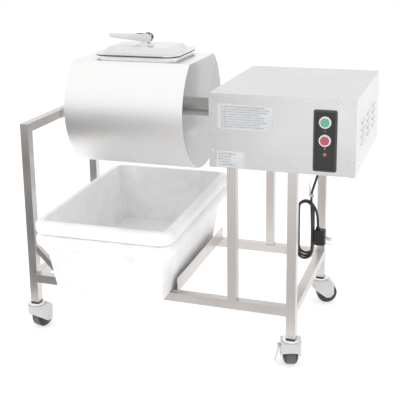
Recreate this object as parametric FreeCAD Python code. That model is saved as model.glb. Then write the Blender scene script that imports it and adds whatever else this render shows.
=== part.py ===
import FreeCAD, Part
import math
import os
from FreeCAD import Vector

# Meat marinating tumbler: a flat-topped drum turned by a gear motor, carried by a
# castored frame of square tube, with two nested tubs on runners under the drum.
# Millimetres. +X runs along the drum's axis from the tubs' side to the motor housing,
# +Y from front to back, +Z up from the floor. Every value below is measured from the
# left face of the left legs (X), the front face of the front legs (Y) and the floor (Z).
# At the end everything moves so that the origin is the middle of the footprint.

# ---- fits -------------------------------------------------------------------------
GAP = 0.3                # air between pieces that move past each other
RUNNING_FIT = 0.05       # radial play of a shaft in its bearing
SMALL_FIT = 0.2          # radial play of pins and loose bolts

# ---- frame ------------------------------------------------------------------------
TUBE = 25.0              # side of the square tube
TUBE_WALL = 1.5
FRAME_LENGTH = 805.0
FRAME_DEPTH = 455.0
LEG_FOOT = 88.0          # underside of the legs, on top of the castors
RAIL_TOP = 177.0         # top face of the lower rails
DRUM_RAIL_TOP = 636.0    # top face of the rail that carries the drum's bearing
MIDDLE_LEG_X = 616.0
BRACE_REACH = 70.0       # from the inside corner to the near edge of a brace, along the rail
BRACE_TUBE = 16.0        # side of the square tube of a corner brace

# ---- tub runners ------------------------------------------------------------------
RUNNER_LEFT_X = 101.0    # outer face of the left angle
RUNNER_RIGHT_X = 468.0   # outer face of the right angle
RUNNER_HEIGHT = 40.0
RUNNER_SHELF = 40.0
RUNNER_THICK = 3.0
RUNNER_REST = 13.0       # how much of each rail the right runner rests on

# ---- motor housing ----------------------------------------------------------------
HOUSING_X = 568.0
HOUSING_LENGTH = 385.0
HOUSING_DEPTH = 450.0
HOUSING_BOTTOM = 555.0
HOUSING_HEIGHT = 200.0
SHEET = 1.5
FLANGE = 18.0            # return flange round the front and the back of the cover
MITRE_SLIT = 0.6
PAN_FLANGE = 36.0
LOUVRE_LENGTH = 53.0
LOUVRE_RISE = 8.0
LOUVRE_DEPTH = 3.5
LOUVRE_SHEET = 1.0
LOUVRE_Y = 92.0          # front end of the first column
LOUVRE_Y_PITCH = 108.0
LOUVRE_COLUMNS = 3
LOUVRE_Z = 617.0         # mouth of the lowest row
LOUVRE_Z_PITCH = 19.0
LOUVRE_ROWS = 4
SCREW_HEAD_R = 3.6
SCREW_HEAD_TOP_R = 2.4
SCREW_HEAD = 1.6
SCREW_SHANK_R = 1.9
SCREW_LENGTH = 8.0

# ---- control panel ----------------------------------------------------------------
PANEL_X = 845.0          # left edge of the bezel
PANEL_Z = 566.0          # lower edge of the bezel
PANEL_WIDTH = 60.0
PANEL_HEIGHT = 160.0
BEZEL_BORDER = 5.0
BEZEL_PROUD = 4.0
BEZEL_CORNER = 5.0
PLATE_PROUD = 2.0
START_Z = 695.0
STOP_Z = 648.0
LAMP_Z = 611.0
RING_R = 15.5
RING_PROUD = 6.5
CAP_R = 11.0
CAP_PROUD = 4.0          # how far a button stands out of its ring
BUTTON_TRAVEL = 3.0
BARREL_R = 13.0
BARREL_DEPTH = 30.0
LAMP_R = 5.0
LAMP_PROUD = 1.5

# ---- drive ------------------------------------------------------------------------
SHAFT_R = 11.0
SHAFT_GRIP = 60.0        # how far the output shaft reaches into the drum's hub
GEARBOX_SIDE = 104.0
GEARBOX_LENGTH = 85.0
GEARBOX_BORE = 30.0
MOTOR_R = 50.0
MOTOR_LENGTH = 150.0
FAN_COVER_R = 46.0
FAN_COVER_LENGTH = 26.0
DRIVE_PLATE_X = 606.0    # inner face of the upright plate that carries the gearbox
DRIVE_PLATE = 6.0
DRIVE_PLATE_WIDTH = 150.0
DRIVE_PLATE_FOOT = 80.0
CAPACITOR_R = 20.0
CAPACITOR_LENGTH = 84.0
RELAY_SIZE = (48.0, 62.0, 80.0)

# ---- drum -------------------------------------------------------------------------
DRUM_X = 119.0
DRUM_LENGTH = 357.0
DRUM_R = 180.0
DRUM_AXIS_Z = 666.0
DRUM_FLAT = 142.0        # from the axis to the outside of the flat
DRUM_SHEET = 1.5
DRUM_END = 2.0
MOUTH_SHIFT = 5.5        # from the middle of the drum's length to the middle of its mouth
HUB_R = 26.5
HUB_GAP = 4.0            # from the hub's end to the housing
STUB_R = 10.0
PADDLE_HEIGHT = 40.0
PADDLE_THICK = 2.0
PADDLE_ANGLES = (210.0, 270.0, 330.0)
COLLAR_HALF = (119.0, 92.0)
COLLAR_CORNER = 34.0
COLLAR_WALL = 2.0
COLLAR_HEIGHT = 11.0
COLLAR_INSIDE = 6.0

# ---- drum's left bearing ----------------------------------------------------------
BRACKET_THICK = 5.0
BRACKET_WIDTH = 50.0
BRACKET_STEP = 17.0      # how far the upright stands inside the foot
BRACKET_TOP_R = 19.0
BEARING_R = 16.0
BEARING_LENGTH = 22.0
BEARING_CHAMFER = 2.0
BRACKET_BOLT_R = 3.0
BRACKET_BOLT_SPACING = 30.0

# ---- lid and its closure ----------------------------------------------------------
LID_HALF = (129.0, 101.0)
LID_CORNER = 40.0
LID_THICK = 3.8
LID_RIM_ROUND = 1.8
LID_BASE_HALF = (106.0, 77.0)
LID_TOP_HALF = (94.0, 62.0)
LID_BASE_CORNER = 8.0
LID_TOP_CORNER = 4.0
LID_RISE = 16.4
LID_SHEET = 1.5
GASKET = 3.5
GASKET_DROP = 10.0
GASKET_WIDTH = 8.0
PLATE_THICK = 2.5
PLATE_INSET = 4.5        # from the seal's outer edge to the plate's edge
PLATE_CORNER = 48.0      # the plate's corners are cut well back from the collar's
BOLT_R = 5.0
BOLT_SLEEVE = 6.0
CHEEK_THICK = 3.0
CHEEK_R = 13.5
CHEEK_CENTRES = (303.0, 309.0)
CHEEK_ROOT_X = (292.0, 312.0)
BLOCK_X = (276.0, 324.0)
BLOCK_HEIGHT = 4.0
FULCRUM_X = 294.3
FULCRUM_Z = 863.5
PIN_R = 3.0
DRAW_OFFSET = 7.7        # from the fulcrum to the draw pin
LEVER_TIP_X = 191.0
LEVER_HALF = 12.0
LEVER_SHEET = 2.0
LEVER_TIP_HEIGHT = 12.0
LEVER_ROOT_R = 11.0
LEVER_WEB_END = 19.0     # where the lever's top stops short of the fulcrum
LEVER_TOP = 10.5         # from the fulcrum to the lever's top face
EYE_LEFT = 15.4
EYE_RIGHT = 6.0
EYE_UP = 6.0
EYE_DOWN = 8.2
EYE_PLAY = 2.2           # how much lower the pin may swing in the bolt's eye
EYE_SWEEP = 9.2          # how far the pin travels along the eye
EYE_THICK = 8.0

# ---- tubs -------------------------------------------------------------------------
TUB_RIM = (406.0, 612.0)
TUB_OVERHANG = 20.0
TUB_TAPER = 27.0         # how far each wall leans out over the tub's height
TUB_WALL = 3.2
TUB_HEIGHT = 178.2
TUB_PITCH = 37.5         # how much higher the upper tub stands
TUB_RIM_DEPTH = 37.2
TUB_RIM_ROUND = 14.0
TUB_CORNER = 42.0
TUB_FLOOR_CORNER = 13.0
TUB_CENTRE = (287.5, 176.6)
TUB_YAW = 1.5

# ---- castors ----------------------------------------------------------------------
CASTOR_YAW = {"front_left": 75.0, "rear_left": 70.0, "front_right": 107.0, "rear_right": 25.0}
BRAKED = ("front_right",)
WHEEL_R = 31.5
TREAD_HALF = 13.0
WHEEL_HALF = 22.0
WHEEL_SIDE_R = 21.0
WHEEL_ROOM = 1.5         # how far the hood's back edge clears the tread
TRAIL = 20.0
AXLE_R = 4.0
HOOD_TOP = 79.0
HOOD_CROWN = 5.0
HOOD_HALF = 28.0
HOOD_WALL = 2.5
HOOD_BACK = 47.0
STEM_R = 5.0
STEM_INSERT = 20.0
RACE_R = 24.0            # disc that covers the ball race on top of the hood
RACE_GAP = 1.2           # from the hood to that disc
STEM_HEAD_R = 8.0
STEM_HEAD = 4.0
PLUG_FLANGE = 3.0
BRAKE_WIDTH = 14.0
BRAKE_SHEET = 2.5
BRAKE_PIVOT = (8.0, 33.0, 58.0)
BRAKE_PIN_R = 2.0
BRAKE_EYE_R = 4.0

# ---- mains lead -------------------------------------------------------------------
CORD_R = 3.5
GLAND_AT = (820.0, 225.0)
GLAND_R = 9.0
GLAND_DROP = 26.0
HANK_X = 784.0
HANK_Y = 225.0
HANK_BOTTOM = 231.0
HANK_TOP = 413.0
HANK_BEND_R = 21.0       # bend of the lead's centre line at the ends of the hank
HANK_BAND = 5.5          # half width of the bundle
HANK_DEPTH = 28.0
PLUG_AT = (821.0, 225.0, 325.0)

# ---- derived places ---------------------------------------------------------------
DRUM_AXIS_Y = FRAME_DEPTH / 2
DRUM_END_X = DRUM_X + DRUM_LENGTH
DRUM_MIDDLE_X = DRUM_X + DRUM_LENGTH / 2 + MOUTH_SHIFT
FLAT_Z = DRUM_AXIS_Z + DRUM_FLAT
COLLAR_TOP = FLAT_Z + COLLAR_HEIGHT
GASKET_Z = COLLAR_TOP + GAP
LID_Z = GASKET_Z + GASKET
LID_TOP_Z = LID_Z + LID_THICK + LID_RISE
PLATE_Z = GASKET_Z - GASKET_DROP - GAP - PLATE_THICK
DRAW_X = FULCRUM_X + DRAW_OFFSET
HOUSING_END = HOUSING_X + HOUSING_LENGTH
HOUSING_TOP = HOUSING_BOTTOM + HOUSING_HEIGHT
HUB_END = HOUSING_X - HUB_GAP
RAIL_BOTTOM = RAIL_TOP - TUBE
DRUM_RAIL_BOTTOM = DRUM_RAIL_TOP - TUBE
PANEL_MIDDLE = PANEL_X + PANEL_WIDTH / 2
TUB_FLOOR_Z = RAIL_TOP + RUNNER_THICK + GAP
GEARBOX_X = DRIVE_PLATE_X + DRIVE_PLATE
MOTOR_X = GEARBOX_X + GEARBOX_LENGTH
PAN_TOP = HOUSING_BOTTOM + SHEET

X_AXIS = Vector(1, 0, 0)
Y_AXIS = Vector(0, 1, 0)
Z_AXIS = Vector(0, 0, 1)

pieces = {}
CORD_NODES = ("mains_lead", "lead_hank", "lead_tail", "mains_plug")


# ---- helpers ----------------------------------------------------------------------
def block(x0, x1, y0, y1, z0, z1):
    """A box between two corners."""
    return Part.makeBox(x1 - x0, y1 - y0, z1 - z0, Vector(x0, y0, z0))


def rod(radius, start, end):
    """A round bar from one point to another."""
    run = Vector(*end) - Vector(*start)
    return Part.makeCylinder(radius, run.Length, Vector(*start), run)


def prism(points, vector):
    """A polygon swept along a vector."""
    wire = Part.makePolygon([Vector(*p) for p in points + [points[0]]])
    return Part.Face(wire).extrude(Vector(*vector))


def rounded_wire(half_x, half_y, corner, z):
    """A rounded rectangle round the Z axis."""
    a, b, r = half_x, half_y, corner
    k = r * (1 - math.sqrt(0.5))
    line = lambda p, q: Part.LineSegment(Vector(*p, z), Vector(*q, z)).toShape()
    arc = lambda p, m, q: Part.Arc(Vector(*p, z), Vector(*m, z), Vector(*q, z)).toShape()
    return Part.Wire([
        line((-a + r, -b), (a - r, -b)), arc((a - r, -b), (a - k, -b + k), (a, -b + r)),
        line((a, -b + r), (a, b - r)), arc((a, b - r), (a - k, b - k), (a - r, b)),
        line((a - r, b), (-a + r, b)), arc((-a + r, b), (-a + k, b - k), (-a, b - r)),
        line((-a, b - r), (-a, -b + r)), arc((-a, -b + r), (-a + k, -b + k), (-a + r, -b))])


def rounded_block(half_x, half_y, corner, z0, z1):
    """An upright block with round corners, round the Z axis."""
    return Part.Face(rounded_wire(half_x, half_y, corner, z0)).extrude(Vector(0, 0, z1 - z0))


def rounded_loft(lower, upper):
    """A tapered block with round corners; each end is (half_x, half_y, corner, z)."""
    return Part.makeLoft([rounded_wire(*lower), rounded_wire(*upper)], True, True)


def moved(shape, x=0.0, y=0.0, z=0.0):
    """A copy of a shape, moved."""
    copy = shape.copy()
    copy.translate(Vector(x, y, z))
    return copy


def joined(solids):
    """One solid fused from several."""
    whole = solids[0].fuse(solids[1:]) if len(solids) > 1 else solids[0]
    return whole.removeSplitter()


def group(solids):
    """Separate solids kept in one node."""
    return Part.makeCompound(solids)


def square_tube(x0, x1, y0, y1, z0, z1, along):
    """A hollow square tube along one axis, open at both ends."""
    w = TUBE_WALL
    hole = {"x": (x0 - 1, x1 + 1, y0 + w, y1 - w, z0 + w, z1 - w),
            "y": (x0 + w, x1 - w, y0 - 1, y1 + 1, z0 + w, z1 - w),
            "z": (x0 + w, x1 - w, y0 + w, y1 - w, z0 - 1, z1 + 1)}[along]
    return block(x0, x1, y0, y1, z0, z1).cut(block(*hole))


# ---- frame ------------------------------------------------------------------------
def mirrored_back(shape):
    """The same piece at the back of the frame."""
    return shape.mirror(Vector(0, FRAME_DEPTH / 2, 0), Y_AXIS)


def left_leg():
    """Front left leg, mitred at the top where the drum rail turns back."""
    leg = square_tube(0, TUBE, 0, TUBE, LEG_FOOT, DRUM_RAIL_TOP, "z")
    waste = prism([(-1, 0, DRUM_RAIL_TOP), (-1, TUBE, DRUM_RAIL_BOTTOM), (-1, TUBE, DRUM_RAIL_TOP)],
                  (TUBE + 2, 0, 0))
    return leg.cut(waste)


def drum_rail():
    """Upper left rail, mitred to both left legs."""
    rail = square_tube(0, TUBE, 0, FRAME_DEPTH, DRUM_RAIL_BOTTOM, DRUM_RAIL_TOP, "y")
    waste = prism([(-1, -1, DRUM_RAIL_TOP + 1), (-1, -1, DRUM_RAIL_BOTTOM - 1),
                   (-1, TUBE + 1, DRUM_RAIL_BOTTOM - 1)], (TUBE + 2, 0, 0))
    return rail.cut(waste).cut(mirrored_back(waste))


def brace():
    """Front corner brace of square tube, 45 degrees between the left leg and the rail."""
    reach = BRACE_REACH
    slope = BRACE_TUBE * math.sqrt(2)
    wall = TUBE_WALL * math.sqrt(2)
    x, z = TUBE, RAIL_TOP
    front, back = (TUBE - BRACE_TUBE) / 2, (TUBE + BRACE_TUBE) / 2

    def strip(outer, inner, y0, y1, over):
        return prism([(x - over, y0, z + inner + over), (x - over, y0, z + outer + over),
                      (x + outer + over, y0, z - over), (x + inner + over, y0, z - over)],
                     (0, y1 - y0, 0))

    body = strip(reach + slope, reach, front, back, 0)
    bore = strip(reach + slope - wall, reach + wall, front + TUBE_WALL, back - TUBE_WALL, 1)
    return body.cut(bore)


def runner(x_outer, side, rest):
    """Angle that a tub slides on: side +1 points its shelf to +X, rest is how much of a rail it covers."""
    y0 = TUBE - rest
    y1 = FRAME_DEPTH - y0
    face = sorted((x_outer, x_outer + side * RUNNER_THICK))
    shelf = sorted((x_outer, x_outer + side * RUNNER_SHELF))
    upright = block(face[0], face[1], y0, y1, RAIL_TOP, RAIL_TOP + RUNNER_HEIGHT)
    flat = block(shelf[0], shelf[1], y0, y1, RAIL_TOP, RAIL_TOP + RUNNER_THICK)
    return joined([upright, flat])


def build_frame():
    """Legs, rails, braces and runners."""
    right = FRAME_LENGTH - TUBE
    back = FRAME_DEPTH - TUBE
    fronts = {
        "left_legs": left_leg(),
        "right_legs": square_tube(right, FRAME_LENGTH, 0, TUBE, LEG_FOOT, HOUSING_BOTTOM, "z"),
        "middle_legs": square_tube(MIDDLE_LEG_X, MIDDLE_LEG_X + TUBE, 0, TUBE, RAIL_TOP, HOUSING_BOTTOM, "z"),
        "long_rails": square_tube(TUBE, right, 0, TUBE, RAIL_BOTTOM, RAIL_TOP, "x"),
        "corner_braces": brace()}
    for name, front in fronts.items():
        pieces[name] = group([front, mirrored_back(front)])
    pieces["side_rails"] = group([
        square_tube(x, x + TUBE, TUBE, back, RAIL_BOTTOM, RAIL_TOP, "y") for x in (0, right)])
    pieces["drum_rail"] = drum_rail()
    behind_brace = (TUBE - BRACE_TUBE) / 2 - GAP
    pieces["tub_runners"] = group([runner(RUNNER_LEFT_X, 1, behind_brace),
                                   runner(RUNNER_RIGHT_X, -1, RUNNER_REST)])


# ---- drum bearing -----------------------------------------------------------------
def build_drum_bearing():
    """Bracket on the drum rail, and the bush that carries the drum's stub shaft."""
    x0, x1 = TUBE, TUBE + BRACKET_THICK
    u0, u1 = x0 + BRACKET_STEP, x1 + BRACKET_STEP
    half = BRACKET_WIDTH / 2
    y, z = DRUM_AXIS_Y, DRUM_AXIS_Z
    shelf_top = DRUM_RAIL_TOP + BRACKET_THICK
    foot = block(x0, x1, y - half, y + half, DRUM_RAIL_BOTTOM, shelf_top)
    shelf = block(x0, u1, y - half, y + half, DRUM_RAIL_TOP, shelf_top)
    upright = prism([(u0, y - half, DRUM_RAIL_TOP), (u0, y + half, DRUM_RAIL_TOP), (u0, y + half, shelf_top),
                     (u0, y + BRACKET_TOP_R, z), (u0, y - BRACKET_TOP_R, z), (u0, y - half, shelf_top)],
                    (BRACKET_THICK, 0, 0))
    plate = joined([foot, shelf, upright, rod(BRACKET_TOP_R, (u0, y, z), (u1, y, z))])
    plate = plate.cut(rod(STUB_R + GAP, (u0 - 1, y, z), (u1 + 1, y, z)))
    bolt_z = DRUM_RAIL_BOTTOM + TUBE / 2
    bolts = []
    for side in (-1, 1):
        at = y + side * BRACKET_BOLT_SPACING / 2
        hole = rod(BRACKET_BOLT_R, (x0 - TUBE_WALL - 1, at, bolt_z), (x1 + 1, at, bolt_z))
        plate = plate.cut(hole)
        pieces["drum_rail"] = pieces["drum_rail"].cut(hole)
        bolts.append(joined([rod(BRACKET_BOLT_R, (x0 - TUBE_WALL, at, bolt_z), (x1, at, bolt_z)),
                             rod(2 * BRACKET_BOLT_R, (x1, at, bolt_z), (x1 + BRACKET_BOLT_R, at, bolt_z))]))
    pieces["bearing_bracket"] = plate
    pieces["bracket_bolts"] = group(bolts)
    nose = u1 + BEARING_LENGTH - BEARING_CHAMFER
    bush = joined([rod(BEARING_R, (u1, y, z), (nose, y, z)),
                   Part.makeCone(BEARING_R, BEARING_R - BEARING_CHAMFER, BEARING_CHAMFER, Vector(nose, y, z), X_AXIS)])
    pieces["stub_bearing"] = bush.cut(
        rod(STUB_R + RUNNING_FIT, (u1 - 1, y, z), (u1 + BEARING_LENGTH + 1, y, z)))


# ---- housing ----------------------------------------------------------------------
def louvre(y, z):
    """One pressed louvre on the right wall, mouth down: its hood and the slot behind it."""
    x, length, rise, depth, t = HOUSING_END, LOUVRE_LENGTH, LOUVRE_RISE, LOUVRE_DEPTH, LOUVRE_SHEET
    hood = prism([(x - SHEET, y, z), (x + depth, y, z), (x + depth, y, z + rise * 0.35),
                  (x, y, z + rise), (x - SHEET, y, z + rise)], (0, length, 0))
    hollow = prism([(x - SHEET - 1, y + t, z - 0.01), (x + depth - t, y + t, z - 0.01),
                    (x + depth - t, y + t, z + rise * 0.35 - t / 2), (x - t / 2, y + t, z + rise - t),
                    (x - SHEET - 1, y + t, z + rise - t)], (0, length - 2 * t, 0))
    return hood, hollow


def cover_screw_places():
    """(point, outward direction) of each screw that holds the cover."""
    front, back = 0.0, HOUSING_DEPTH
    mid = FLANGE / 2
    places = []
    for x in (HOUSING_X + 44.0, HOUSING_END - 48.0):
        places.append(((x, front, HOUSING_TOP - mid), (0, -1, 0)))
        places.append(((x, back, HOUSING_TOP - mid), (0, 1, 0)))
    for x in (HOUSING_X + mid, HOUSING_END - mid):
        for z in (HOUSING_BOTTOM + 46.0, HOUSING_BOTTOM + 150.0):
            places.append(((x, front, z), (0, -1, 0)))
            places.append(((x, back, z), (0, 1, 0)))
    for y in (126.0, 302.0):
        places.append(((HOUSING_END, y, HOUSING_BOTTOM + PAN_FLANGE / 2), (1, 0, 0)))
        places.append(((HOUSING_X, y, HOUSING_BOTTOM + PAN_FLANGE / 2), (-1, 0, 0)))
    return places


def screw(place, outward):
    """A pan-head screw whose head bears on the cover."""
    point, out = Vector(*place), Vector(*outward)
    head = Part.makeCone(SCREW_HEAD_R, SCREW_HEAD_TOP_R, SCREW_HEAD, point, out)
    shank = Part.makeCylinder(SCREW_SHANK_R, SCREW_LENGTH, point, out * -1)
    return joined([head, shank])


def screw_hole(place, outward):
    """Clearance for a screw through the sheets behind its head."""
    point, out = Vector(*place), Vector(*outward)
    return Part.makeCylinder(SCREW_SHANK_R, SCREW_LENGTH + 1, point + out, out * -1)


def build_cover():
    """Folded cover: top, two sides, return flanges, and louvres on the right side."""
    x0, x1, d = HOUSING_X, HOUSING_END, HOUSING_DEPTH
    z0, z1, t, f = HOUSING_BOTTOM, HOUSING_TOP, SHEET, FLANGE
    body = block(x0, x1, 0, d, z0, z1).cut(block(x0 + t, x1 - t, t, d - t, z0 - 1, z1 - t))
    body = body.cut(block(x0 + f, x1 - f, -1, d + 1, z0 - 1, z1 - f))
    body = body.cut(rod(SHAFT_R + 5.0, (x0 - 1, DRUM_AXIS_Y, DRUM_AXIS_Z),
                        (x0 + t + 1, DRUM_AXIS_Y, DRUM_AXIS_Z)))
    slit = MITRE_SLIT / math.sqrt(2)
    near = t * 1.1
    for corner, way in ((x0, 1), (x1, -1)):
        cut = prism([(corner + way * near, -1, z1 - near - slit), (corner + way * (near + slit), -1, z1 - near),
                     (corner + way * (f + 1 + slit), -1, z1 - f - 1),
                     (corner + way * (f + 1), -1, z1 - f - 1 - slit)], (0, d + 2, 0))
        body = body.cut(cut.cut(block(x0, x1, t, d - t, z0, z1)))
    hoods, hollows = [], []
    for column in range(LOUVRE_COLUMNS):
        for row in range(LOUVRE_ROWS):
            hood, hollow = louvre(LOUVRE_Y + column * LOUVRE_Y_PITCH, LOUVRE_Z + row * LOUVRE_Z_PITCH)
            hoods.append(hood)
            hollows.append(hollow)
    body = body.fuse(hoods).cut(hollows)
    places = cover_screw_places()
    body = body.cut([screw_hole(*p) for p in places])
    pieces["housing_cover"] = body.removeSplitter()
    pieces["cover_screws"] = group([screw(*p) for p in places])


def build_panels():
    """Front and rear panels behind the cover's flanges, and the pan that closes the bottom."""
    t, d = SHEET, HOUSING_DEPTH
    x0, x1 = HOUSING_X + t, HOUSING_END - t
    z1 = HOUSING_TOP - t
    panel = block(x0, x1, t, 2 * t, HOUSING_BOTTOM, z1)
    rear = moved(panel, y=d - 3 * t)
    for z in (START_Z, STOP_Z):
        panel = panel.cut(rod(BARREL_R, (PANEL_MIDDLE, 0, z), (PANEL_MIDDLE, 2 * t + 1, z)))
    panel = panel.cut(rod(LAMP_R, (PANEL_MIDDLE, 0, LAMP_Z), (PANEL_MIDDLE, 2 * t + 1, LAMP_Z)))
    y0, y1 = 2 * t, d - 2 * t
    pan = block(x0, x1, y0, y1, HOUSING_BOTTOM, HOUSING_BOTTOM + PAN_FLANGE)
    pan = pan.cut(block(x0 + t, x1 - t, y0 + t, y1 - t, PAN_TOP, HOUSING_BOTTOM + PAN_FLANGE + 1))
    pan = pan.cut(rod(GLAND_R - 2, (*GLAND_AT, HOUSING_BOTTOM - 1), (*GLAND_AT, PAN_TOP + 1)))
    holes = [screw_hole(*p) for p in cover_screw_places()]
    pieces["front_panel"] = panel.cut(holes)
    pieces["rear_panel"] = rear.cut(holes)
    pieces["base_pan"] = pan.cut(holes)


# ---- controls ---------------------------------------------------------------------
def upright_plate(half_x, half_z, corner, y0, y1, x, z):
    """A plate with round corners that faces the front."""
    plate = rounded_block(half_x, half_z, corner, 0, y1 - y0)
    plate.rotate(Vector(0, 0, 0), X_AXIS, 90)
    return moved(plate, x, y1, z)


def build_controls():
    """Bezel, black plate, button rings, the two buttons and the lamp."""
    x, z = PANEL_MIDDLE, PANEL_Z + PANEL_HEIGHT / 2
    half_x, half_z, border = PANEL_WIDTH / 2, PANEL_HEIGHT / 2, BEZEL_BORDER
    face = SHEET
    bezel = upright_plate(half_x, half_z, BEZEL_CORNER, face - BEZEL_PROUD, face, x, z)
    rim = [e for e in bezel.Edges if e.BoundBox.YMax < face - BEZEL_PROUD + 0.1]
    bezel = bezel.makeFillet(1.2, rim)
    inside = upright_plate(half_x - border, half_z - border, BEZEL_CORNER * 0.5,
                           face - BEZEL_PROUD - 1, face + 1, x, z)
    pieces["control_bezel"] = bezel.cut(inside)
    plate = upright_plate(half_x - border, half_z - border, BEZEL_CORNER * 0.5,
                          face - PLATE_PROUD, face, x, z)
    front = face - PLATE_PROUD
    rings = []
    for name, at in (("start_button", START_Z), ("stop_button", STOP_Z)):
        plate = plate.cut(rod(BARREL_R, (x, front - 1, at), (x, face + 1, at)))
        ring = rod(RING_R, (x, front - RING_PROUD, at), (x, front, at))
        lip = [e for e in ring.Edges if e.Closed and e.BoundBox.YMax < front - 1]
        ring = ring.makeFillet(2.0, lip)
        barrel = rod(BARREL_R, (x, front, at), (x, front + BARREL_DEPTH, at))
        bore = rod(CAP_R + GAP, (x, front - RING_PROUD - 1, at), (x, front + BARREL_DEPTH - 6, at))
        rings.append(joined([ring, barrel]).cut(bore))
        cap_front = front - RING_PROUD - CAP_PROUD
        cap = rod(CAP_R, (x, cap_front, at), (x, front + BARREL_DEPTH - 6 - BUTTON_TRAVEL - GAP, at))
        edge = [e for e in cap.Edges if e.Closed and e.BoundBox.YMax < cap_front + 0.1]
        pieces[name] = cap.makeFillet(1.5, edge)
    plate = plate.cut(rod(LAMP_R, (x, front - 1, LAMP_Z), (x, face + 1, LAMP_Z)))
    lamp = rod(LAMP_R, (x, front - LAMP_PROUD, LAMP_Z), (x, 2 * SHEET + 12, LAMP_Z))
    dome = [e for e in lamp.Edges if e.Closed and e.BoundBox.YMax < front]
    pieces["pilot_lamp"] = lamp.makeFillet(LAMP_PROUD * 0.9, dome)
    pieces["control_plate"] = plate
    pieces["button_rings"] = group(rings)


# ---- drive ------------------------------------------------------------------------
def build_drive():
    """Gear motor on its upright plate, with its capacitor and the start relay."""
    y, z = DRUM_AXIS_Y, DRUM_AXIS_Z
    half = DRIVE_PLATE_WIDTH / 2
    upright = block(DRIVE_PLATE_X, GEARBOX_X, y - half, y + half, PAN_TOP, z + GEARBOX_SIDE / 2 + 8)
    foot = block(GEARBOX_X, GEARBOX_X + DRIVE_PLATE_FOOT, y - half, y + half, PAN_TOP, PAN_TOP + DRIVE_PLATE)
    gussets = [prism([(GEARBOX_X, y + s * half, PAN_TOP + DRIVE_PLATE),
                      (GEARBOX_X + DRIVE_PLATE_FOOT - 10, y + s * half, PAN_TOP + DRIVE_PLATE),
                      (GEARBOX_X, y + s * half, z - 10)], (0, -s * DRIVE_PLATE, 0)) for s in (-1, 1)]
    plate = joined([upright, foot] + gussets)
    plate = plate.cut(rod(SHAFT_R + 8, (DRIVE_PLATE_X - 1, y, z), (GEARBOX_X + 1, y, z)))
    pieces["drive_plate"] = plate
    side = GEARBOX_SIDE / 2
    box_ = rounded_block(side, side, 8.0, 0, GEARBOX_LENGTH)
    box_.rotate(Vector(0, 0, 0), Y_AXIS, 90)
    box_ = moved(box_, GEARBOX_X, y, z)
    bore = rod(SHAFT_R + RUNNING_FIT, (GEARBOX_X - 1, y, z), (GEARBOX_X + GEARBOX_BORE, y, z))
    pieces["gearbox"] = box_.cut(bore)
    motor = rod(MOTOR_R, (MOTOR_X, y, z), (MOTOR_X + MOTOR_LENGTH, y, z))
    fins = []
    for i in range(16):
        fin = block(MOTOR_X + 12, MOTOR_X + MOTOR_LENGTH - 8, y - 1, y + 1, z + MOTOR_R - 2, z + MOTOR_R + 2)
        fin.rotate(Vector(MOTOR_X, y, z), X_AXIS, i * 360.0 / 16)
        fins.append(fin)
    end = MOTOR_X + MOTOR_LENGTH
    fan = rod(FAN_COVER_R, (end, y, z), (end + FAN_COVER_LENGTH, y, z))
    fan = fan.makeFillet(6.0, [e for e in fan.Edges if e.Closed and e.BoundBox.XMin > end + 1])
    pieces["motor"] = joined([motor, fan] + fins)
    x = HOUSING_END - 70
    can = rod(CAPACITOR_R, (x, y + 120, PAN_TOP), (x, y + 120, PAN_TOP + CAPACITOR_LENGTH))
    can = can.makeFillet(3.0, [e for e in can.Edges if e.Closed and e.BoundBox.ZMin > PAN_TOP + 1])
    tags = [block(x - 3, x + 3, y + 120 + s * 8 - 0.5, y + 120 + s * 8 + 0.5, PAN_TOP + CAPACITOR_LENGTH,
                  PAN_TOP + CAPACITOR_LENGTH + 8) for s in (-1, 1)]
    pieces["run_capacitor"] = joined([can] + tags)
    a, b, c = RELAY_SIZE
    x, y0 = HOUSING_END - 90, DRUM_AXIS_Y - 160
    relay = block(x, x + a, y0, y0 + b, PAN_TOP, PAN_TOP + c * 0.7)
    relay = joined([relay, block(x + 6, x + a - 6, y0 + 14, y0 + b - 14, PAN_TOP + c * 0.7, PAN_TOP + c)])
    pieces["start_relay"] = relay


# ---- drum -------------------------------------------------------------------------
def drum_profile(radius, flat, x):
    """Circle with a flat on top, in the plane at x, as a face."""
    half = math.sqrt(radius ** 2 - flat ** 2)
    y, z = DRUM_AXIS_Y, DRUM_AXIS_Z
    left, right = Vector(x, y - half, z + flat), Vector(x, y + half, z + flat)
    arc = Part.Arc(left, Vector(x, y, z - radius), right).toShape()
    return Part.Face(Part.Wire([arc, Part.LineSegment(right, left).toShape()]))


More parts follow.
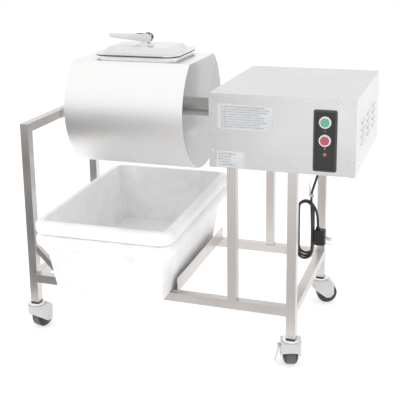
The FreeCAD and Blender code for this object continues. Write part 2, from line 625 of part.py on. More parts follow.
def build_drum():
    """Shell with its flat and collar, end plates, paddles, hub and both shafts."""
    y, z, t = DRUM_AXIS_Y, DRUM_AXIS_Z, DRUM_SHEET
    length = Vector(DRUM_LENGTH, 0, 0)
    outer = drum_profile(DRUM_R, DRUM_FLAT, DRUM_X).extrude(length)
    hollow = drum_profile(DRUM_R - t, DRUM_FLAT - t, DRUM_X).extrude(length)
    shell = outer.cut(hollow)
    half_x, half_y = COLLAR_HALF
    wall, r = COLLAR_WALL, COLLAR_CORNER
    low, high = FLAT_Z - t - COLLAR_INSIDE, COLLAR_TOP
    place = dict(x=DRUM_MIDDLE_X, y=y)
    collar = moved(rounded_block(half_x, half_y, r, low, high), **place)
    mouth = moved(rounded_block(half_x - wall, half_y - wall, r - wall, low - 1, high + 1), **place)
    pieces["drum_shell"] = group([shell.cut(collar), collar.cut(mouth)])
    plate = drum_profile(DRUM_R - t, DRUM_FLAT - t, DRUM_X).extrude(Vector(DRUM_END, 0, 0))
    left_hole = rod(STUB_R, (DRUM_X - 1, y, z), (DRUM_X + DRUM_END + 1, y, z))
    pieces["drum_ends"] = group([plate.cut(left_hole), moved(plate, x=DRUM_LENGTH - DRUM_END)])
    paddles = []
    for angle in PADDLE_ANGLES:
        reach = DRUM_R - t - 0.2
        fin = block(DRUM_X + DRUM_END, DRUM_END_X - DRUM_END, y + reach - PADDLE_HEIGHT, y + reach,
                    z - PADDLE_THICK / 2, z + PADDLE_THICK / 2)
        bead = rod(PADDLE_THICK * 1.5, (DRUM_X + DRUM_END, y + reach - PADDLE_HEIGHT, z),
                   (DRUM_END_X - DRUM_END, y + reach - PADDLE_HEIGHT, z))
        fin = joined([fin, bead])
        fin.rotate(Vector(0, y, z), X_AXIS, angle)
        paddles.append(fin)
    pieces["mixing_paddles"] = group(paddles)
    hub = rod(HUB_R, (DRUM_END_X, y, z), (HUB_END, y, z))
    hub = hub.makeFillet(1.5, [e for e in hub.Edges if e.Closed and e.BoundBox.XMin > HUB_END - 1])
    shaft_start = HUB_END - SHAFT_GRIP
    pieces["drive_hub"] = hub.cut(rod(SHAFT_R, (shaft_start, y, z), (HUB_END + 1, y, z)))
    pieces["drive_shaft"] = rod(SHAFT_R, (shaft_start, y, z), (GEARBOX_X + GEARBOX_BORE - 1, y, z))
    stub_end = TUBE + BRACKET_STEP + GAP
    stub = rod(STUB_R, (stub_end, y, z), (DRUM_X + DRUM_END + 1, y, z))
    boss = rod(STUB_R * 1.8, (DRUM_X - 14, y, z), (DRUM_X, y, z))
    pieces["stub_shaft"] = joined([stub, boss])


# ---- lid and closure --------------------------------------------------------------
def build_lid():
    """Raised lid, its rubber seal, and the plate that squeezes the seal from below."""
    place = dict(x=DRUM_MIDDLE_X, y=DRUM_AXIS_Y)
    base_z, top_z, t = LID_Z + LID_THICK, LID_TOP_Z, LID_SHEET
    flange = rounded_block(*LID_HALF, LID_CORNER, LID_Z, base_z)
    flange = flange.makeFillet(LID_RIM_ROUND, [e for e in flange.Edges if e.BoundBox.ZMin > base_z - 0.1])
    rise = rounded_loft((*LID_BASE_HALF, LID_BASE_CORNER, base_z - 0.01), (*LID_TOP_HALF, LID_TOP_CORNER, top_z))
    within = rounded_loft(
        (LID_BASE_HALF[0] - t, LID_BASE_HALF[1] - t, LID_BASE_CORNER - t, LID_Z - 1),
        (LID_TOP_HALF[0] - t, LID_TOP_HALF[1] - t, LID_TOP_CORNER - t, top_z - t))
    lid = moved(joined([flange, rise]).cut(within), **place)
    bolt_hole = rod(BOLT_R + SMALL_FIT, (DRAW_X, DRUM_AXIS_Y, top_z - 10), (DRAW_X, DRUM_AXIS_Y, top_z + 1))
    pieces["lid"] = lid.cut(bolt_hole)
    fit = COLLAR_WALL + 2 * GAP
    inner = (COLLAR_HALF[0] - fit, COLLAR_HALF[1] - fit)
    corner = COLLAR_CORNER - fit
    top_ring = rounded_block(LID_HALF[0] - 1, LID_HALF[1] - 1, LID_CORNER - 1, GASKET_Z, LID_Z)
    drop_ring = rounded_block(*inner, corner, GASKET_Z - GASKET_DROP, LID_Z)
    opening = rounded_block(inner[0] - GASKET_WIDTH, inner[1] - GASKET_WIDTH, corner - GASKET_WIDTH,
                            GASKET_Z - GASKET_DROP - 1, LID_Z + 1)
    pieces["lid_gasket"] = moved(joined([top_ring, drop_ring]).cut(opening), **place)
    plate = rounded_block(inner[0] - PLATE_INSET, inner[1] - PLATE_INSET, PLATE_CORNER, PLATE_Z, PLATE_Z + PLATE_THICK)
    window = rod(BOLT_R, (DRAW_X - DRUM_MIDDLE_X, 0, PLATE_Z - 1),
                 (DRAW_X - DRUM_MIDDLE_X, 0, PLATE_Z + PLATE_THICK + 1))
    pieces["pressure_plate"] = moved(plate.cut(window), **place)


def cheek(y0, y1):
    """One side of the lever's bracket: a rounded ear over the block."""
    left, right = CHEEK_CENTRES
    z = FULCRUM_Z - 0.5
    ends = [rod(CHEEK_R, (x, y0, z), (x, y1, z)) for x in (left, right)]
    middle = block(left, right, y0, y1, z - CHEEK_R, z + CHEEK_R)
    root = block(*CHEEK_ROOT_X, y0, y1, LID_TOP_Z, z)
    return joined(ends + [middle, root])


def build_closure():
    """Bracket with its two cheeks, lever, draw pin and draw bolt."""
    y, z = DRUM_AXIS_Y, FULCRUM_Z
    inner = LEVER_HALF + 0.5
    outer = inner + CHEEK_THICK
    deck = block(*BLOCK_X, y - outer, y + outer, LID_TOP_Z, LID_TOP_Z + BLOCK_HEIGHT)
    deck = deck.makeFillet(2.0, [e for e in deck.Edges
                                 if e.BoundBox.ZLength > 1 and e.BoundBox.XLength < 0.1 and e.BoundBox.YLength < 0.1])
    bracket = joined([deck, cheek(y - outer, y - inner), cheek(y + inner, y + outer)])
    bracket = bracket.cut(rod(BOLT_R + SMALL_FIT, (DRAW_X, y, LID_TOP_Z - 1), (DRAW_X, y, z)))
    rivets = []
    for side in (-1, 1):
        hole = rod(PIN_R, (FULCRUM_X, y + side * (inner - 1), z), (FULCRUM_X, y + side * (outer + 1), z))
        bracket = bracket.cut(hole)
        rivets.append(joined([
            rod(PIN_R, (FULCRUM_X, y + side * (LEVER_HALF - LEVER_SHEET), z), (FULCRUM_X, y + side * outer, z)),
            rod(PIN_R * 1.5, (FULCRUM_X, y + side * outer, z), (FULCRUM_X, y + side * (outer + 1.2), z))]))
    pieces["lever_bracket"] = bracket
    pieces["lever_rivets"] = group(rivets)

    web_end = FULCRUM_X - LEVER_WEB_END
    top = z + LEVER_TOP
    low = top - LEVER_TIP_HEIGHT
    side_plate = [(LEVER_TIP_X, 0, low), (FULCRUM_X, 0, z - LEVER_ROOT_R), (FULCRUM_X, 0, z + LEVER_ROOT_R),
                  (web_end, 0, top), (LEVER_TIP_X, 0, top)]
    walls = []
    for side in (-1, 1):
        ys = sorted((y + side * LEVER_HALF, y + side * (LEVER_HALF - LEVER_SHEET)))
        flat = prism([(px, ys[0], pz) for px, _, pz in side_plate], (0, ys[1] - ys[0], 0))
        knuckle = rod(LEVER_ROOT_R, (FULCRUM_X, ys[0], z), (FULCRUM_X, ys[1], z))
        ear = rod(PIN_R + 2.5, (DRAW_X, ys[0], z), (DRAW_X, ys[1], z))
        pivot = rod(PIN_R + RUNNING_FIT, (FULCRUM_X, ys[0] - 1, z), (FULCRUM_X, ys[1] + 1, z))
        walls.append(joined([flat, knuckle, ear]).cut(pivot))
    web = block(LEVER_TIP_X - 4, web_end, y - LEVER_HALF, y + LEVER_HALF, top - LEVER_SHEET, top)
    pin = rod(PIN_R, (DRAW_X, y - LEVER_HALF + LEVER_SHEET, z), (DRAW_X, y + LEVER_HALF - LEVER_SHEET, z))
    pieces["cam_lever"] = joined(walls + [web])
    pieces["draw_pin"] = pin

    eye = block(DRAW_X - EYE_LEFT, DRAW_X + EYE_RIGHT, y - EYE_THICK / 2, y + EYE_THICK / 2,
                z - EYE_DOWN, z + EYE_UP)
    corners = [e for e in eye.Edges if e.BoundBox.YLength > EYE_THICK - 0.1]
    eye = eye.makeFillet(2.0, corners)
    slot_r = PIN_R + SMALL_FIT
    near, far = DRAW_X, DRAW_X - EYE_SWEEP
    ends = [rod(slot_r, (x, y - 9, h), (x, y + 9, h)) for x in (near, far) for h in (z, z - EYE_PLAY)]
    slot = joined(ends + [block(far, near, y - 9, y + 9, z - EYE_PLAY - slot_r, z + slot_r),
                          block(far - slot_r, near + slot_r, y - 9, y + 9, z - EYE_PLAY, z)])
    stem = rod(BOLT_R, (DRAW_X, y, PLATE_Z), (DRAW_X, y, z - EYE_DOWN + 1))
    pieces["draw_bolt"] = joined([eye, stem]).cut(slot)


# ---- tubs -------------------------------------------------------------------------
def tub(z):
    """Tapered tub with a rolled rim; z is the underside of its floor."""
    rim_x, rim_y = TUB_RIM[0] / 2, TUB_RIM[1] / 2
    mouth_x, mouth_y = rim_x - TUB_OVERHANG, rim_y - TUB_OVERHANG
    floor_x, floor_y = mouth_x - TUB_TAPER, mouth_y - TUB_TAPER
    top = z + TUB_HEIGHT
    t = TUB_WALL
    corner = TUB_CORNER - TUB_OVERHANG
    body = rounded_loft((floor_x, floor_y, TUB_FLOOR_CORNER, z), (mouth_x, mouth_y, corner, top))
    rim = rounded_block(rim_x, rim_y, TUB_CORNER, top - TUB_RIM_DEPTH, top)
    edges = [e for e in rim.Edges if e.BoundBox.ZLength < 0.1]
    rim = rim.makeFillet(TUB_RIM_ROUND, edges)
    hollow = rounded_loft(
        (floor_x - t + TUB_TAPER * t / TUB_HEIGHT, floor_y - t + TUB_TAPER * t / TUB_HEIGHT,
         TUB_FLOOR_CORNER - t, z + t),
        (mouth_x - t + 0.1, mouth_y - t + 0.1, corner - t + 0.1, top + 1))
    shape = joined([body, rim]).cut(hollow)
    shape.rotate(Vector(0, 0, 0), Z_AXIS, TUB_YAW)
    return moved(shape, *TUB_CENTRE)


def build_tubs():
    """Two equal tubs, one nested in the other."""
    pieces["tub_lower"] = tub(TUB_FLOOR_Z)
    pieces["tub_upper"] = tub(TUB_FLOOR_Z + TUB_PITCH)


# ---- castors ----------------------------------------------------------------------
def hood_solid(inset, crown):
    """The hood's outer form, or its cavity when inset: trailing side towards +X."""
    half, back = HOOD_HALF - inset, HOOD_BACK - inset
    top = HOOD_TOP - crown
    corner = 18.0 - inset / 2
    low = 20.0 if inset == 0 else -5.0
    nose = Part.makeCylinder(half, top - low, Vector(0, 0, low))
    tail = block(0, back, -half, half, low, top)
    rounding = [e for e in tail.Edges if e.BoundBox.ZLength > 1 and e.BoundBox.XMin > back - 0.1]
    tail = tail.makeFillet(corner, rounding)
    plan = joined([nose, tail])
    side = [(-half - 1, 0, top), (24.0 - inset, 0, top), (40.0 - inset, 0, top - 13.0),
            (back, 0, top - 28.0), (back, 0, low - 1), (-half - 1, 0, low - 1)]
    if inset == 0:
        side = [(-half - 1, 0, top), (24.0, 0, top), (40.0, 0, top - 13.0), (back, 0, top - 28.0),
                (back - 1.0, 0, 40.0), (TRAIL + 7.0, 0, 22.5), (TRAIL - 6.0, 0, 22.5), (-half - 1, 0, 54.0)]
    profile = prism([(x, -60, z) for x, _, z in side], (0, 120, 0))
    form = plan.common(profile).removeSplitter()
    if inset == 0:
        crown_edges = [e for e in form.Edges if e.BoundBox.ZMin > top - 0.1 and e.BoundBox.ZMax < top + 0.1]
        form = form.makeFillet(4.0, crown_edges)
    return form


def castor_hood(braked):
    """Hood with the axle through its cheeks and, when braked, the brake's lugs and pin."""
    axle = rod(AXLE_R, (TRAIL, -HOOD_HALF - 1.5, WHEEL_R), (TRAIL, HOOD_HALF + 1.5, WHEEL_R))
    hood = hood_solid(0.0, 0.0).cut(hood_solid(HOOD_WALL, HOOD_CROWN))
    hood = hood.cut(rod(STEM_R + RUNNING_FIT, (0, 0, HOOD_TOP - HOOD_CROWN - 1), (0, 0, HOOD_TOP + 1)))
    inside = HOOD_HALF - HOOD_WALL
    hood = hood.cut(rod(WHEEL_R + WHEEL_ROOM, (TRAIL, -inside, WHEEL_R), (TRAIL, inside, WHEEL_R)))
    parts_ = [hood, axle]
    if braked:
        u, w, z = BRAKE_PIVOT
        half = BRAKE_WIDTH / 2 + GAP
        for side in (-1, 1):
            edge = sorted((u + side * half, u + side * (half + 3)))
            parts_.append(block(edge[0], edge[1], HOOD_HALF - 1, w + BRAKE_EYE_R, z - 4, z + 4))
        parts_.append(rod(BRAKE_PIN_R, (u - half - 1, w, z), (u + half + 1, w, z)))
    return joined(parts_)


def castor_wheel():
    """Barrel-shaped wheel about its axle: flat tread, sides that fall away."""
    half, tread, r, side = WHEEL_HALF, TREAD_HALF, WHEEL_R, WHEEL_SIDE_R
    bore = AXLE_R + RUNNING_FIT
    ring = [(0, -half, bore), (0, -half, side), (0, -tread - 1, r - 1), (0, -tread, r), (0, tread, r),
            (0, tread + 1, r - 1), (0, half, side), (0, half, bore)]
    face = Part.Face(Part.makePolygon([Vector(*p) for p in ring + [ring[0]]]))
    wheel = face.revolve(Vector(0, 0, 0), Y_AXIS, 360)
    return moved(wheel, TRAIL, 0, WHEEL_R)


def brake_rocker():
    """Rocking brake lever on the hood's side: release tab above, foot tab below."""
    u, w, z = BRAKE_PIVOT
    t, half = BRAKE_SHEET, BRAKE_WIDTH / 2
    run = [(w - 1, z), (w - 1, z + 15), (w + 13, z + 21), (w + 13, z + 21 + t), (w - 1 + t * 0.2, z + 16 + t),
           (w + t - 1, z + 14), (w + t - 1, z - 8), (w + 5 + t, z - 24), (w + 9 + t, z - 43),
           (w + 9, z - 43), (w + 5, z - 24), (w - 1, z - 8)]
    lever = prism([(u - half, p, q) for p, q in run], (BRAKE_WIDTH, 0, 0))
    eye = rod(BRAKE_EYE_R, (u - half, w, z), (u + half, w, z))
    pin = rod(BRAKE_PIN_R + RUNNING_FIT, (u - half - 1, w, z), (u + half + 1, w, z))
    return joined([lever, eye]).cut(pin)


def castor_places():
    """Swivel axis of each castor."""
    near, far_x, far_y = TUBE / 2, FRAME_LENGTH - TUBE / 2, FRAME_DEPTH - TUBE / 2
    return {"front_left": (near, near), "rear_left": (near, far_y),
            "front_right": (far_x, near), "rear_right": (far_x, far_y)}


def build_castors():
    """Leg plugs, stems, and each castor's hood, wheel and brake."""
    inside = TUBE / 2 - TUBE_WALL
    plugs, stems = [], []
    for corner, (x, y) in castor_places().items():
        plug = joined([block(-TUBE / 2, TUBE / 2, -TUBE / 2, TUBE / 2, LEG_FOOT - PLUG_FLANGE, LEG_FOOT),
                       block(-inside, inside, -inside, inside, LEG_FOOT, LEG_FOOT + STEM_INSERT)])
        plug = plug.cut(rod(STEM_R, (0, 0, LEG_FOOT - PLUG_FLANGE - 1), (0, 0, LEG_FOOT + STEM_INSERT + 1)))
        plugs.append(moved(plug, x, y))
        under = HOOD_TOP - HOOD_CROWN - GAP
        stem = joined([rod(STEM_R, (0, 0, under - STEM_HEAD), (0, 0, LEG_FOOT + STEM_INSERT)),
                       rod(RACE_R, (0, 0, HOOD_TOP + RACE_GAP), (0, 0, LEG_FOOT - PLUG_FLANGE)),
                       rod(STEM_HEAD_R, (0, 0, under - STEM_HEAD), (0, 0, under))])
        stems.append(moved(stem, x, y))
        braked = corner in BRAKED
        solids = {"castor_hood_" + corner: castor_hood(braked), "castor_wheel_" + corner: castor_wheel()}
        if braked:
            solids["castor_brake_" + corner] = brake_rocker()
        for name, shape in solids.items():
            shape.rotate(Vector(0, 0, 0), Z_AXIS, CASTOR_YAW[corner])
            pieces[name] = moved(shape, x, y)
    pieces["leg_plugs"] = group(plugs)
    pieces["castor_stems"] = group(stems)


# ---- mains lead -------------------------------------------------------------------
def route_radii(points):
    """Arc radius at each inner point: 0.45 of the shorter run over the tangent of half the turn."""
    radii = []
    for a, b, c in zip(points, points[1:], points[2:]):
        u, v = b - a, c - b
        radii.append(0.45 * min(u.Length, v.Length) / math.tan(u.getAngle(v) / 2))
    return radii


def lead_tube(name, route):
    """Round lead along straight runs joined by tangent arcs."""
    points = [Vector(*p) for p in route]
    radii = route_radii(points)
    edges, start = [], points[0]
    for a, b, c, r in zip(points, points[1:], points[2:], radii):
        u, v = (a - b).normalize(), (c - b).normalize()
        half = u.getAngle(v) / 2
        reach = r / math.tan(half)
        first, last = b + u * reach, b + v * reach
        middle = b + (u + v).normalize() * (r / math.sin(half) - r)
        edges += [Part.LineSegment(start, first).toShape(), Part.Arc(first, middle, last).toShape()]
        start = last
    edges.append(Part.LineSegment(start, points[-1]).toShape())
    path = Part.Wire(edges)
    ring = Part.Wire(Part.Circle(points[0], points[1] - points[0], CORD_R).toShape())
    tube = path.makePipeShell([ring], True, True)
    expected = math.pi * CORD_R ** 2 * path.Length
    print("%s radii %s length %.1f volume %.0f expected %.0f"
          % (name, [round(r, 1) for r in radii], path.Length, tube.Volume, expected))
    return tube


def hank_solid():
    """Outer form of the looped lead: a tall racetrack ring."""
    low, high = HANK_BOTTOM + HANK_BEND_R + HANK_BAND, HANK_TOP - HANK_BEND_R - HANK_BAND
    outer, inner = HANK_BEND_R + HANK_BAND, HANK_BEND_R - HANK_BAND
    y0, y1 = HANK_Y - HANK_DEPTH / 2, HANK_Y + HANK_DEPTH / 2

    def racetrack(r, over):
        ends = [rod(r, (HANK_X, y0 - over, z), (HANK_X, y1 + over, z)) for z in (low, high)]
        return joined(ends + [block(HANK_X - r, HANK_X + r, y0 - over, y1 + over, low, high)])

    ring = racetrack(outer, 0)
    ring = ring.makeFillet(5.0, [e for e in ring.Edges if e.BoundBox.YLength < 0.1])
    return ring.cut(racetrack(inner, 1))


LEAD_ROUTE = [(820.0, 225.0, 529.0), (820.0, 225.0, 511.0), (817.3, 225.0, 490.0), (811.5, 225.0, 468.0),
              (804.5, 225.0, 446.0), (799.0, 225.0, 426.0), (796.0, 225.0, 408.0)]
TAIL_ROUTE = [(797.0, 225.0, 404.0), (806.2, 225.0, 396.3), (813.6, 225.0, 384.4), (818.3, 225.0, 368.1),
              (820.2, 225.0, 350.2), (820.8, 225.0, 332.5)]


def build_lead():
    """Cord gland, lead, hank, tail and plug."""
    gx, gy = GLAND_AT
    flange_z = HOUSING_BOTTOM
    gland = joined([rod(GLAND_R, (gx, gy, flange_z - 5), (gx, gy, flange_z)),
                    Part.makeCone(CORD_R + 2, GLAND_R - 2, GLAND_DROP - 5, Vector(gx, gy, flange_z - GLAND_DROP)),
                    rod(GLAND_R - 2, (gx, gy, flange_z), (gx, gy, PAN_TOP)),
                    rod(GLAND_R, (gx, gy, PAN_TOP), (gx, gy, PAN_TOP + 6))])
    pieces["cord_gland"] = gland
    pieces["mains_lead"] = lead_tube("mains_lead", LEAD_ROUTE)
    pieces["lead_tail"] = lead_tube("lead_tail", TAIL_ROUTE)
    pieces["lead_hank"] = hank_solid()
    x, y, z = PLUG_AT
    body = block(x - 9, x + 22, y - 15, y + 15, z - 46, z)
    body = body.makeFillet(7.0, [e for e in body.Edges if e.BoundBox.YLength > 20])
    neck = Part.makeCone(8, CORD_R + 1.5, 8, Vector(x, y, z - 0.5))
    face = x + 22
    pins = [block(face, face + 17, y + s * 6.5 - 0.8, y + s * 6.5 + 0.8, z - 29, z - 23) for s in (-1, 1)]
    pins.append(block(face, face + 19, y - 3, y + 3, z - 42, z - 40.4))
    pieces["mains_plug"] = joined([body, neck] + pins)


# ---- whole machine ----------------------------------------------------------------
def build_all():
    """Build every piece and put the origin in the middle of the footprint."""
    for step in (build_frame, build_drum_bearing, build_cover, build_panels, build_controls, build_drive,
                 build_drum, build_lid, build_closure, build_tubs, build_castors, build_lead):
        step()
    footprint = Part.makeCompound([s for n, s in pieces.items() if n not in CORD_NODES]).BoundBox
    return Vector(-footprint.Center.x, -footprint.Center.y, 0)


ORIGIN_SHIFT = build_all()
os.makedirs("parts", exist_ok=True)
for node, shape in pieces.items():
    shape.translate(ORIGIN_SHIFT)
    solids = len(shape.Solids)
    if solids == 0 or not shape.isValid():
        print("CHECK", node, solids, shape.isValid())
    shape.exportStep("parts/" + node + ".step")
print("pieces", len(pieces), "origin shift %.3f %.3f" % (ORIGIN_SHIFT.x, ORIGIN_SHIFT.y))
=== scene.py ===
import logging
import math
import random
from dataclasses import dataclass, field
from enum import Enum
from typing import Callable, Sequence

import bmesh
import bpy
from mathutils import Matrix, Vector


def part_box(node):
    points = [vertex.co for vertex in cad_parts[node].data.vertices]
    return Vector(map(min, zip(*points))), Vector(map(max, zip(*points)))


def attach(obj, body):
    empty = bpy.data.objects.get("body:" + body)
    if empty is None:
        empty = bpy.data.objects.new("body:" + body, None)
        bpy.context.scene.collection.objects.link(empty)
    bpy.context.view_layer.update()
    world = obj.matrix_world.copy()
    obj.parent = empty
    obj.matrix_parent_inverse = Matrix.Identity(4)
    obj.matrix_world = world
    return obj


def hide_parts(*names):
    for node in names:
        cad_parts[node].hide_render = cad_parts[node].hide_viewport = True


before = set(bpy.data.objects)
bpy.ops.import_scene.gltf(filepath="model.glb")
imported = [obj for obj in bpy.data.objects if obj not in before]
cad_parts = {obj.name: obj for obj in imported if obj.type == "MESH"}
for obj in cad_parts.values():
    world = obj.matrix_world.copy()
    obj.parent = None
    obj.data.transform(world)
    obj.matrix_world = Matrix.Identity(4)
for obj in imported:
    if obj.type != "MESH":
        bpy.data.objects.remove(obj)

log = logging.getLogger("tumbler")
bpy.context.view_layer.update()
MM = 0.001
MERGE = 1e-7
CREASE = math.radians(35)
Colour = tuple[float, float, float]
Rect = tuple[float, float, float, float]


# Places. Lengths in the classes below are millimetres from the left face of the left legs
# (X), the front face of the front legs (Y) and the floor (Z), as in the part's source.
LEG_LOW, LEG_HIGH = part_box("left_legs")
CORNER = Vector((LEG_LOW[0], LEG_LOW[1], 0.0))


def at(x: float, y: float, z: float) -> Vector:
    """Place in the row frame, in metres, of a point given in millimetres from the frame's corner."""
    return CORNER + Vector((x, y, z)) * MM


def span(node: str) -> tuple[Vector, Vector]:
    """Lowest and highest corner of a CAD node, in metres."""
    low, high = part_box(node)
    return Vector(low), Vector(high)


def middle(node: str) -> Vector:
    """Centre of a CAD node's box."""
    low, high = span(node)
    return (low + high) / 2


def placed(name: str, data: bpy.types.ID) -> bpy.types.Object:
    """A new object in the scene that shows some data."""
    obj = bpy.data.objects.new(name, data)
    bpy.context.scene.collection.objects.link(obj)
    return obj


def cleared(owner: bpy.types.ID) -> bpy.types.NodeTree:
    """The node tree of a material or a world, emptied."""
    owner.use_nodes = True
    owner.node_tree.nodes.clear()
    return owner.node_tree


def plain_mesh(name: str, holder: bpy.types.Object) -> bpy.types.Mesh:
    """The mesh that an object's curve, text or modifiers make; the object itself goes."""
    graph = bpy.context.evaluated_depsgraph_get()
    graph.update()
    mesh = bpy.data.meshes.new_from_object(holder.evaluated_get(graph))
    mesh.name = name
    bpy.data.objects.remove(holder)
    return mesh


class Axis(Enum):
    """A direction that a grain, a tube or a bar follows."""

    X = 0
    Y = 1
    Z = 2


class Castor(Enum):
    """The four castors, each with the angle that its wheel trails at, in degrees from +X."""

    FRONT_LEFT = ("front_left", 75.0)
    REAR_LEFT = ("rear_left", 70.0)
    FRONT_RIGHT = ("front_right", 107.0)
    REAR_RIGHT = ("rear_right", 25.0)

    @property
    def label(self) -> str:
        """Name used in the CAD nodes and bodies."""
        return self.value[0]

    @property
    def yaw(self) -> float:
        """Trail angle in radians."""
        return math.radians(self.value[1])


# Shader node groups
class ShaderGroup:
    """A shader node group under construction, with helpers to add and link nodes."""

    def __init__(self, name: str, inputs: dict[str, float], outputs: Sequence[str]) -> None:
        """Open a new group.

        Args:
            name: the group's name.
            inputs: named float inputs with their default values.
            outputs: named float outputs.
        """
        self.tree = bpy.data.node_groups.new(name, "ShaderNodeTree")
        for key, value in inputs.items():
            socket = self.tree.interface.new_socket(key, in_out="INPUT", socket_type="NodeSocketFloat")
            socket.default_value = value
        for key in outputs:
            self.tree.interface.new_socket(key, in_out="OUTPUT", socket_type="NodeSocketFloat")
        self.given = self.tree.nodes.new("NodeGroupInput")
        self.result = self.tree.nodes.new("NodeGroupOutput")

    def add(self, kind: str, **settings: object) -> bpy.types.Node:
        """Add a node and set its attributes."""
        node = self.tree.nodes.new(kind)
        for key, value in settings.items():
            setattr(node, key, value)
        return node

    def link(self, source: bpy.types.NodeSocket, target: bpy.types.NodeSocket) -> None:
        """Link two sockets."""
        self.tree.links.new(source, target)

    def math(self, operation: str, a: object, b: object = 0.0) -> bpy.types.NodeSocket:
        """Add a Math node.

        Args:
            operation: the Math node's operation.
            a: first value, a number or a socket.
            b: second value, a number or a socket.

        Returns:
            The node's output socket.
        """
        node = self.add("ShaderNodeMath", operation=operation)
        for index, value in enumerate((a, b)):
            if isinstance(value, bpy.types.NodeSocket):
                self.link(value, node.inputs[index])
            else:
                node.inputs[index].default_value = value
        return node.outputs[0]

    def noise(self, vector: bpy.types.NodeSocket, scale: object, detail: float, rough: float = 0.5
              ) -> bpy.types.NodeSocket:
        """Add a noise texture and return its factor."""
        node = self.add("ShaderNodeTexNoise")
        self.link(vector, node.inputs["Vector"])
        if isinstance(scale, bpy.types.NodeSocket):
            self.link(scale, node.inputs["Scale"])
        else:
            node.inputs["Scale"].default_value = scale
        node.inputs["Detail"].default_value = detail
        node.inputs["Roughness"].default_value = rough
        return node.outputs["Fac"]


def brush_group() -> bpy.types.NodeTree:
    """Brushed grain: fine scratches drawn out along one axis, with slow blotches in the gloss.

    Returns:
        A group with inputs Stretch X, Stretch Y, Stretch Z and Fine, and outputs Streak and Cloud.
    """
    g = ShaderGroup("brushed_grain", {"Stretch X": 1.0, "Stretch Y": 1.0, "Stretch Z": 1.0, "Fine": 900.0},
                    ("Streak", "Cloud"))
    coords = g.add("ShaderNodeTexCoord")
    pull = g.add("ShaderNodeCombineXYZ")
    for index, key in enumerate(("Stretch X", "Stretch Y", "Stretch Z")):
        g.link(g.given.outputs[key], pull.inputs[index])
    drawn = g.add("ShaderNodeVectorMath", operation="MULTIPLY")
    g.link(coords.outputs["Object"], drawn.inputs[0])
    g.link(pull.outputs[0], drawn.inputs[1])
    fine = g.noise(drawn.outputs[0], g.given.outputs["Fine"], 3.0, 0.6)
    broad = g.noise(drawn.outputs[0], g.math("MULTIPLY", g.given.outputs["Fine"], 0.21), 2.0)
    g.link(g.math("ADD", g.math("MULTIPLY", fine, 0.65), g.math("MULTIPLY", broad, 0.35)),
           g.result.inputs["Streak"])
    g.link(g.noise(coords.outputs["Object"], 9.0, 3.0), g.result.inputs["Cloud"])
    return g.tree


def mottle_group() -> bpy.types.NodeTree:
    """Moulded or cast skin: a fine pebble, and slow patches for wear and handling.

    Returns:
        A group with inputs Pebble and Patch (scales), and outputs Pebble and Patch.
    """
    g = ShaderGroup("moulded_skin", {"Pebble": 1400.0, "Patch": 14.0}, ("Pebble", "Patch"))
    coords = g.add("ShaderNodeTexCoord")
    g.link(g.noise(coords.outputs["Object"], g.given.outputs["Pebble"], 2.0), g.result.inputs["Pebble"])
    g.link(g.noise(coords.outputs["Object"], g.given.outputs["Patch"], 4.0, 0.6), g.result.inputs["Patch"])
    return g.tree


def edge_group() -> bpy.types.NodeTree:
    """Rubbed edges, from how sharply the surface turns.

    Returns:
        A group with an input Reach and an output Rubbed.
    """
    g = ShaderGroup("edge_wear", {"Reach": 1.0}, ("Rubbed",))
    geometry = g.add("ShaderNodeNewGeometry")
    pointy = g.add("ShaderNodeMapRange")
    pointy.inputs["From Min"].default_value = 0.52
    pointy.inputs["From Max"].default_value = 0.62
    g.link(geometry.outputs["Pointiness"], pointy.inputs["Value"])
    g.link(g.math("MULTIPLY", pointy.outputs[0], g.given.outputs["Reach"]), g.result.inputs["Rubbed"])
    return g.tree


GROUPS: dict[str, bpy.types.NodeTree] = {}


def group_named(name: str, maker: Callable[[], bpy.types.NodeTree]) -> bpy.types.NodeTree:
    """The shared node group of that name, made on first use."""
    if name not in GROUPS:
        GROUPS[name] = maker()
    return GROUPS[name]


